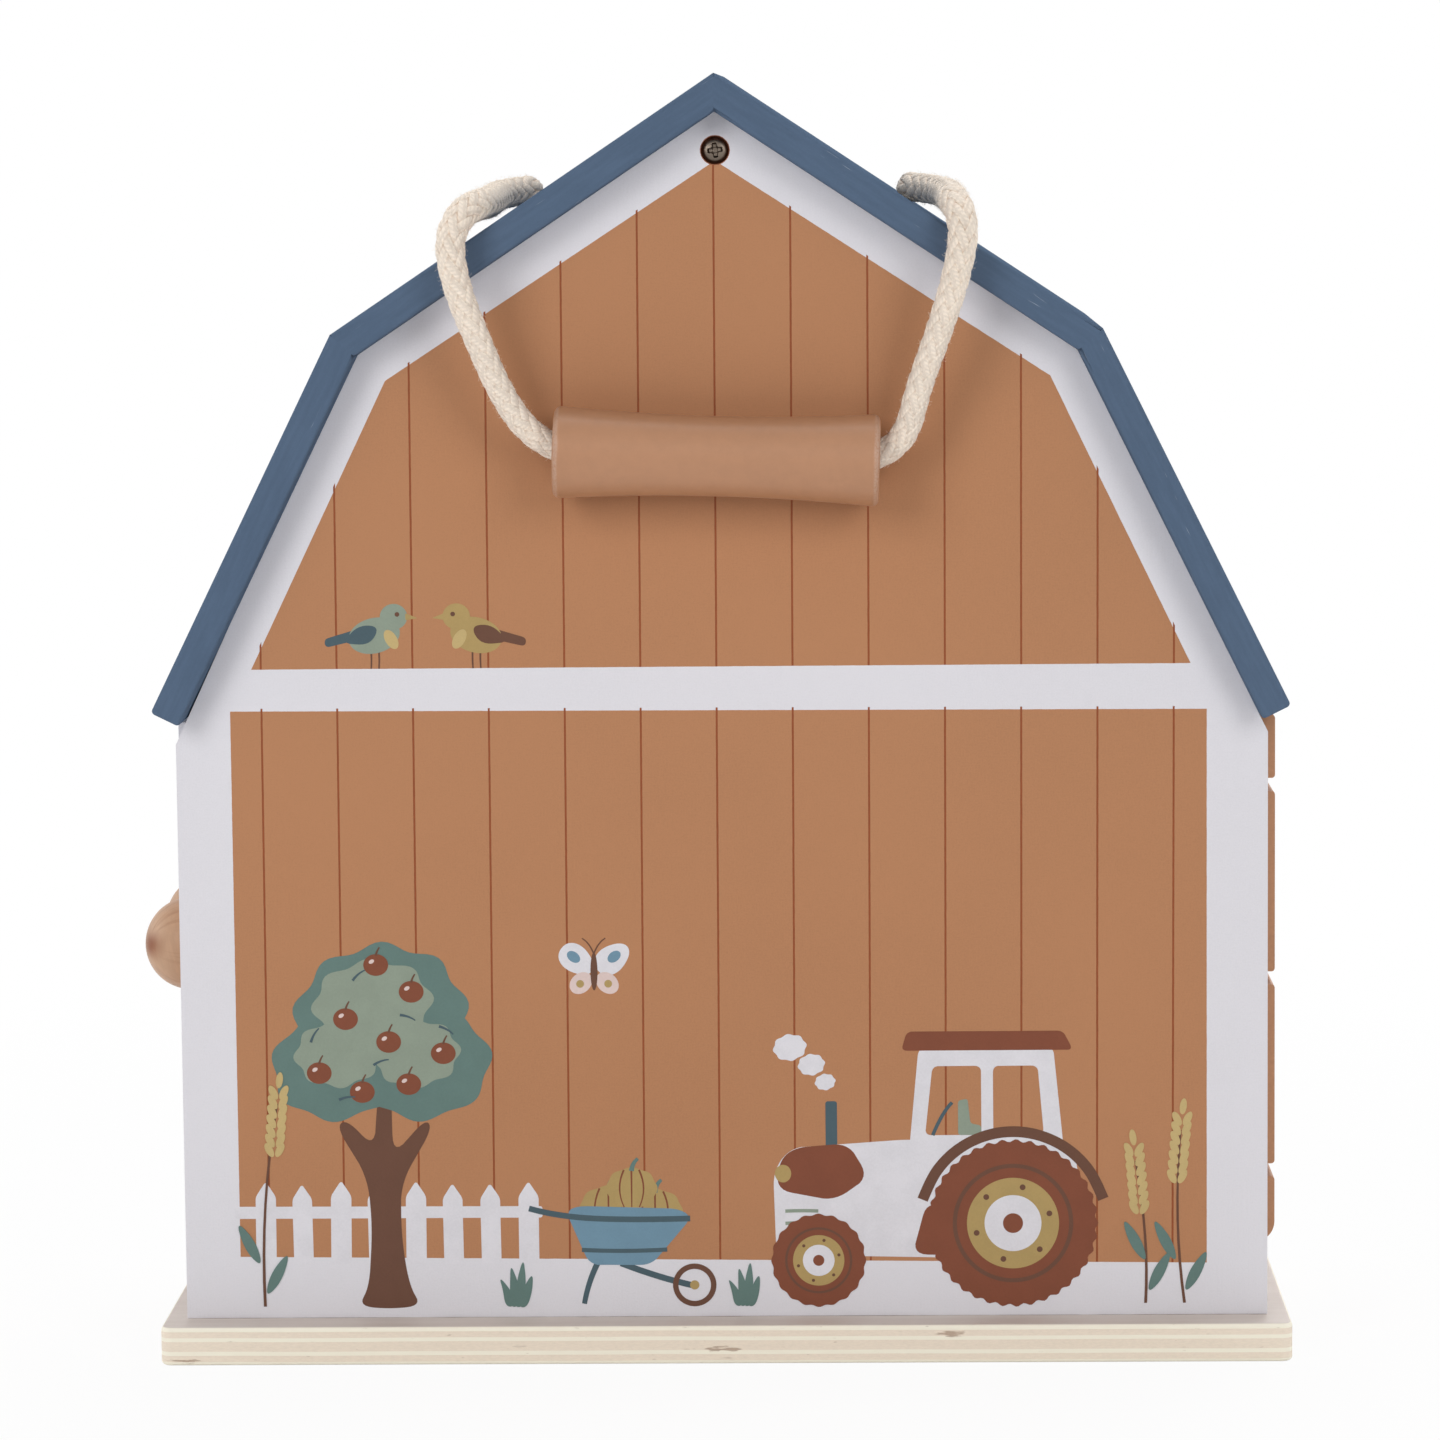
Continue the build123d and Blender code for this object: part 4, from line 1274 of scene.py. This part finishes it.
class FARMHOUSE_OT_print_tree(bpy.types.Operator):
    """Printed apple tree"""

    bl_idname = "farmhouse.print_tree"
    bl_label = "Print: apple tree"

    def execute(self, context):
        art = Picture("print_tree", 6)
        left = [(-95, 13), (-92, 18), (-91, 34), (-92, 47), (-100, 60), (-97, 62), (-90, 54), (-89, 70)]
        right = [(-85.5, 70), (-85.4, 52), (-77, 62), (-75, 59.5), (-83.6, 45), (-83.4, 30), (-81.6, 18)]
        art.fill("umber", soft([*left, *right, (-78.5, 13), (-87, 12.2)], 6))
        for x, z, across, up, lobes in ((-99, 76, 17, 14, 7), (-77, 76, 17, 14, 7), (-88, 88, 22, 19, 9)):
            art.fill("teal", ring(x, z, across, up, 10, lobes, 0.05, 90))
        for x, z, across, up in ((-99, 79, 11, 8.5), (-79, 79, 11, 8.5), (-90, 92, 15, 11)):
            art.fill("sage", ring(x, z, across, up, 5, 8, 0.06, 90))
        apples = [(-104, 74), (-93, 69), (-81, 71), (-72, 79), (-86, 82), (-97, 88), (-80, 95), (-89, 102)]
        for x, z in apples:
            art.fill("brown", ring(x, z, 3.1, 2.9, 0, 2, 0.03, 36))
            art.fill("umber", stroke([(x, z + 2.4), (x + 0.3, z + 3.6), (x + 1.0, z + 4.6)], 0.6, 0.35))
            art.fill("pink", ring(x - 1.1, z + 0.9, 0.75, 0.5, 30, steps=20))
        twigs = [(-106, 82, 60), (-90, 76, 20), (-73, 86, -30), (-95, 98, 40), (-83, 89, -20), (-99, 67, 10)]
        for x, z, lean in twigs:
            c, s = math.cos(math.radians(lean)), math.sin(math.radians(lean))
            bend = (x + c * 2.2 - s * 0.6, z + s * 2.2 + c * 0.6)
            art.fill("slate", stroke([(x, z), bend, (x + c * 4.2, z + s * 4.2)], 0.7, 0.3))
        art.place()
        return {"FINISHED"}


def wheel(art, x, z, size):
    """A ribbed tyre with a rim, a hub and six bolts."""
    art.fill("brown", ring(x, z, size, size, 0, round(size * 1.7), 0.018, 200))
    art.fill("umber", ring(x, z, size * 0.72, steps=90), ring(x, z, size * 0.67, steps=90))
    art.fill("ochre", ring(x, z, size * 0.55, steps=80))
    art.fill("white", ring(x, z, size * 0.34, steps=60))
    art.fill("brown", ring(x, z, size * 0.12, steps=40))
    away = size * 0.45
    for n in range(6):
        turn = math.radians(60 * n + 15)
        bolt = ring(x + away * math.cos(turn), z + away * math.sin(turn), size * 0.035, steps=20)
        art.fill("umber", bolt)


class FARMHOUSE_OT_print_tractor(bpy.types.Operator):
    """Printed white tractor with brown wheels"""

    bl_idname = "farmhouse.print_tractor"
    bl_label = "Print: tractor"

    def execute(self, context):
        art = Picture("print_tractor", 2)
        art.fill("slate", soft([(26, 52), (26, 66), (29, 66), (29, 52)], 0.8))
        for x, z, size in ((26, 71, 2.6), (22.5, 75.5, 3.4), (17, 80, 4.2)):
            art.fill("white", ring(x, z, size, size * 0.8, 10, 8, 0.05, 64))
        windscreen = soft([(51.5, 57), (53.5, 75), (66, 75), (66, 57)], 1.8)
        window = soft([(69, 57), (69, 75), (80.5, 75), (82, 57)], 1.8)
        art.fill("white", soft([(46.5, 44), (50, 80), (84.5, 80), (88, 44)], 2.5), windscreen, window)
        art.fill("brown", soft([(45.5, 79), (47, 84), (87, 84), (89.5, 79)], 1.6))
        body = [(13, 26), (12.5, 48), (17, 54), (48, 56), (90, 52), (93, 34), (60, 25)]
        art.fill("white", soft(body, 4))
        art.fill("brown", soft([(13.2, 43), (14, 50.5), (18, 54), (32, 55), (37, 46), (28, 40)], 4))
        art.fill("brown", soft([(48, 26), (52, 40), (60, 36), (62, 25.5)], 4))
        art.fill("sage", soft([(60, 57), (60, 66), (62.5, 66.5), (63.2, 60), (66, 59.5), (66, 57)], 0.9))
        art.fill("slate", stroke([(53.5, 57), (56, 63), (58.5, 65.5)], 0.9))
        for z in (31, 34.2, 37.4):
            art.fill("sage", stroke([(15.5, z), (19, z + 0.2), (24, z)], 0.9))
        art.fill("ochre", ring(15, 47.2, 2.1, 2.3, steps=40))
        angles = np.radians(np.linspace(15, 165, 12))
        art.fill("umber", stroke([(74 + 24 * math.cos(a), 34 + 24 * math.sin(a)) for a in angles], 2.8))
        wheel(art, 74, 34, 21.5)
        wheel(art, 24, 24.5, 12)
        art.place()
        return {"FINISHED"}


def pumpkin(art, x, z, across, up):
    """A ribbed pumpkin with its stalk."""
    art.fill("ochre", ring(x, z, across, up, 0, 8, 0.03, 80))
    for share in (-0.5, 0.0, 0.5):
        near, out = x + across * share * 0.6, x + across * share * 1.3
        art.fill("brown", stroke([(near, z + up * 0.9), (out, z), (near, z - up * 0.9)], 0.5, 0.3))
    art.fill("teal", stroke([(x, z + up * 0.85), (x + 0.3, z + up + 1.4), (x + 1.7, z + up + 2.4)], 1.3, 0.8))


def wheat(art, foot, waist, top, sense):
    """A stem of wheat with an ear and two leaves, which nods to the right where sense is 1."""
    art.fill("umber", stroke([foot, waist, top], 0.75, 0.5))
    for n in range(7):
        x = top[0] + (n - 4) * 0.22 * sense
        z = top[1] - 12 + 2.5 * n
        for side in (-1, 1):
            art.fill("straw", ring(x + side * 1.35, z, 0.95, 2.0, -side * 28, steps=24))
    art.fill("straw", ring(top[0] + 0.7 * sense, top[1] + 6.2, 0.9, 2.1, -8 * sense, steps=24))
    for low, side in ((16, 1), (24, -1)):
        stem = foot[0] + (waist[0] - foot[0]) * (low - foot[1]) / (waist[1] - foot[1])
        outer, inner = (stem + side * 4.6, low + 3.6), (stem + side * 1.6, low + 6)
        art.fill("teal", soft([(stem, low - 1), outer, (stem + side * 7, low + 12), inner]))


class FARMHOUSE_OT_print_barrow(bpy.types.Operator):
    """Printed blue wheelbarrow with pumpkins, and wheat at both sides of the gable"""

    bl_idname = "farmhouse.print_barrow"
    bl_label = "Print: wheelbarrow and wheat"

    def execute(self, context):
        art = Picture("print_barrow", 2)
        pumpkin(art, -30, 38, 7.5, 6.2)
        pumpkin(art, -18, 37.5, 7, 5.8)
        pumpkin(art, -24, 43.5, 6.5, 5.4)
        art.fill("slate", stroke([(-33, 24), (-35.5, 19), (-36.5, 13.4)], 1.5, 1.3))
        art.fill("slate", stroke([(-27, 24), (-17, 20), (-8, 18)], 1.6))
        art.fill("blue", soft([(-41, 37.5), (-35, 23.5), (-19, 23.5), (-8.5, 36), (-12, 38.2), (-38, 39)], 3))
        art.fill("slate", stroke([(-50.5, 38.4), (-43, 36.2), (-24, 35.2), (-9, 35.6)], 1.5))
        art.fill("slate", stroke([(-37, 27.5), (-26, 26.9), (-15, 27.5)], 1.1))
        art.fill("umber", ring(-8, 18.2, 5.6, steps=60), ring(-8, 18.2, 4.2, steps=60))
        art.fill("ochre", ring(-8, 18.2, 1.2, steps=30))
        art.place()
        art = Picture("print_wheat", 14)
        wheat(art, (118, 13), (115, 34), (117, 58), 1)
        wheat(art, (108, 13), (109, 30), (105.5, 50), -1)
        wheat(art, (-119, 13), (-120, 40), (-115, 66), 1)
        art.place()
        return {"FINISHED"}


# Height at which the birds stand
BIRD_FOOT = RAIL_TOP + 0.3


def bird(art, x, body, wing, sense):
    """A small bird that stands on the rail and looks to the right where sense is 1."""

    def at(ahead, up):
        return x + ahead * sense, BIRD_FOOT + up

    for foot in (x - 0.9, x + 1.1):
        knee = (foot + 0.2 * sense, BIRD_FOOT + 2.5)
        art.fill("umber", stroke([(foot, BIRD_FOOT + 5), knee, (foot, BIRD_FOOT - 0.3)], 0.5, 0.4))
    art.fill(wing, soft([at(-4.5, 7), at(-12.5, 5.2), at(-12.8, 7.4), at(-4, 10)], 1.2))
    art.fill(body, ring(*at(0, 8.2), 6.4, 4.7, 14 * sense, 2, 0.04, 60))
    art.fill(body, ring(*at(5.0, 13.0), 3.5, 3.3, steps=50))
    art.fill("straw", ring(*at(4.3, 7.2), 1.5, 2.7, 30 * sense, steps=40))
    art.fill(wing, soft([at(1.5, 10.6), at(-4, 11), at(-8.5, 6.2), at(-1, 5.8)], 3))
    art.fill("ochre", soft([at(8.0, 13.9), at(11.2, 12.6), at(8.0, 12.1)], 0.4))
    art.fill("umber", ring(*at(5.9, 13.6), 0.6, steps=20))


class FARMHOUSE_OT_print_birds(bpy.types.Operator):
    """Printed birds on the rail and a butterfly"""

    bl_idname = "farmhouse.print_birds"
    bl_label = "Print: birds and butterfly"

    def execute(self, context):
        art = Picture("print_birds")
        bird(art, -88, "sage", "slate", 1)
        bird(art, -62, "ochre", "umber", -1)
        art.place()
        art = Picture("print_butterfly")
        x, z = -33, 100
        for side in (-1, 1):
            art.fill("white", ring(x + side * 4.6, z + 3.2, 4.9, 3.5, side * 38, 3, 0.05, 60))
            art.fill("pink", ring(x + side * 3.4, z - 3.0, 3.2, 2.5, -side * 42, steps=50))
            art.fill("blue", ring(x + side * 5.2, z + 3.8, 1.9, 1.3, side * 38, steps=40))
            art.fill("ochre", ring(x + side * 3.6, z - 3.2, 1.0, steps=30))
            feeler = [(x, z + 4.6), (x + side * 1.2, z + 7.6), (x + side * 3.0, z + 8.6)]
            art.fill("umber", stroke(feeler, 0.4, 0.3))
        art.fill("umber", ring(x, z, 0.9, 4.9, steps=40))
        art.place()
        return {"FINISHED"}


# Pan head of the screws under the apex, in millimetres

HEAD_RADIUS = 3.2
HEAD_RISE = 1.1
HEAD_HEIGHT = 2.3
SHANK_RADIUS = 1.6
SHANK_LENGTH = 20.0
TIP_RADIUS = 0.3
TIP_LENGTH = 2.0
DOME_RADIUS = HEAD_RADIUS + 0.12
FINE_RADIUS = 2.6
FINE_STEP = 0.07

# Cross recess in the head, in millimetres, and how far it is turned, in radians

RECESS_DEPTH = 1.35
RECESS_TURN = 0.12
ARM_REACH = 1.95
ARM_HALF_WIDTH = 0.62
ARM_DEPTH = 1.25
ARM_RISE = 0.4
ARM_WALL = 0.24
MIDDLE_RADIUS = 1.15
END_WALL = 0.5


def recess_depth(x, z):
    """Depth of a cross recess: two arms with sloping walls, deepest in the middle."""
    depth = np.zeros_like(x)
    for along, across in ((x, z), (z, x)):
        wall = np.clip((ARM_HALF_WIDTH - np.abs(across)) / ARM_WALL, 0, 1)
        end = np.clip((ARM_REACH - np.abs(along)) / END_WALL, 0, 1)
        depth = np.maximum(depth, wall * end * (ARM_DEPTH - ARM_RISE * np.abs(along) / ARM_REACH))
    middle = np.clip((MIDDLE_RADIUS - np.hypot(x, z)) / END_WALL, 0, 1)
    return np.maximum(depth, middle * RECESS_DEPTH)


def screw_rings(angle):
    """A screw as rings from its head's middle to its tip: across, back from its top, and up."""
    rings = []
    inner = np.arange(FINE_STEP, FINE_RADIUS, FINE_STEP)
    outer = np.linspace(FINE_RADIUS + 0.02, HEAD_RADIUS, 10)
    for r in (*inner, *outer):
        x, z = r * np.cos(angle), r * np.sin(angle)
        dome = HEAD_RISE * (1 - math.sqrt(1 - (r / DOME_RADIUS) ** 2))
        rings.append((x, dome + recess_depth(x, z), z))
    shoulder = HEAD_HEIGHT + 0.05
    tip = SHANK_LENGTH + TIP_LENGTH
    shank = ((SHANK_RADIUS, shoulder), (SHANK_RADIUS, SHANK_LENGTH), (TIP_RADIUS, tip))
    for r, deep in ((HEAD_RADIUS, HEAD_HEIGHT), *shank):
        rings.append((r * np.cos(angle), np.full_like(angle, deep), r * np.sin(angle)))
    return rings


def pan_head_screws(finish):
    """Both screws under the apex: a domed head with a cross recess, on a shank."""
    low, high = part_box("gable_screws")
    height = (low.z + high.z) / 2 / MM
    angle = np.linspace(0, 2 * math.pi, 120, endpoint=False)
    c, s = math.cos(RECESS_TURN), math.sin(RECESS_TURN)
    work = bmesh.new()
    for side, face in ((-1, low.y / MM), (1, high.y / MM)):
        rings = []
        for x, deep, z in screw_rings(angle):
            points = zip(x * c - z * s, face - side * deep, x * s + z * c + height)
            rings.append([work.verts.new((u * MM, v * MM, w * MM)) for u, v, w in points])
        for one, two in zip(rings, rings[1:]):
            for n in range(len(angle)):
                m = (n + 1) % len(angle)
                work.faces.new((one[n], one[m], two[m], two[n]))
        work.faces.new(rings[0])
        work.faces.new(rings[-1])
    mesh = bpy.data.meshes.new("pan_head_screws")
    work.to_mesh(mesh)
    work.free()
    outward_normals(mesh)
    mesh.materials.append(finish)
    return mesh


class FARMHOUSE_OT_metalwork(bpy.types.Operator):
    """Screws, pins, magnets and strikes, and the bare dowels"""

    bl_idname = "farmhouse.metalwork"
    bl_label = "Metalwork"

    def execute(self, context):
        dark = metal_finish("blackened_steel", linear(112, 101, 91), 0.22)
        bright = metal_finish("drawn_steel", linear(176, 176, 178), 0.35)
        nickel = metal_finish("nickel", linear(206, 204, 198), 0.18)
        for node in ("base_screws", "door_front_knob_screw", "door_rear_knob_screw"):
            coat(node, dark)
        link("pan_head_screws", pan_head_screws(dark), "house", "screw_steel", "gable_screws")
        for moving in ("door_front", "door_rear", "ramp"):
            coat(f"{moving}_pins", bright)
            coat(f"{moving}_strike", bright)
        coat("catch_magnets", nickel)
        coat("frame_dowels", painted_finish("dowel_wood", linear(214, 180, 140), (1, 9, 1)))
        return {"FINISHED"}


class FARMHOUSE_PT_panel(bpy.types.Panel):
    """Steps that finish the farmhouse"""

    bl_idname = "FARMHOUSE_PT_panel"
    bl_label = "Farmhouse"
    bl_space_type = "VIEW_3D"
    bl_region_type = "UI"
    bl_category = "Farmhouse"

    def draw(self, context):
        layout = self.layout
        for operator in STEPS:
            layout.operator(operator.bl_idname)
        for group in GROUPS:
            settings = getattr(context.scene, group)
            box = layout.box()
            for name in settings.bl_rna.properties.keys():
                if name not in ("rna_type", "name"):
                    box.prop(settings, name)


STEPS = (
    FARMHOUSE_OT_studio,
    FARMHOUSE_OT_rope,
    FARMHOUSE_OT_knots,
    FARMHOUSE_OT_walls,
    FARMHOUSE_OT_roof,
    FARMHOUSE_OT_base,
    FARMHOUSE_OT_doors,
    FARMHOUSE_OT_metalwork,
    FARMHOUSE_OT_print_fence,
    FARMHOUSE_OT_print_tree,
    FARMHOUSE_OT_print_tractor,
    FARMHOUSE_OT_print_barrow,
    FARMHOUSE_OT_print_birds,
)
GROUPS = {
    "farmhouse_colours": FarmhouseColours,
    "farmhouse_print": FarmhousePrint,
    "farmhouse_rope": FarmhouseRope,
    "farmhouse_studio": FarmhouseStudio,
}


def register():
    for group in GROUPS.values():
        bpy.utils.register_class(group)
    for name, group in GROUPS.items():
        setattr(bpy.types.Scene, name, bpy.props.PointerProperty(type=group))
    for operator in (*STEPS, FARMHOUSE_PT_panel):
        bpy.utils.register_class(operator)


def unregister():
    for operator in (FARMHOUSE_PT_panel, *reversed(STEPS)):
        bpy.utils.unregister_class(operator)
    for name, group in GROUPS.items():
        delattr(bpy.types.Scene, name)
        bpy.utils.unregister_class(group)


def main():
    register()
    for operator in STEPS:
        family, name = operator.bl_idname.split(".")
        getattr(getattr(bpy.ops, family), name)()


if __name__ == "__main__":
    main()
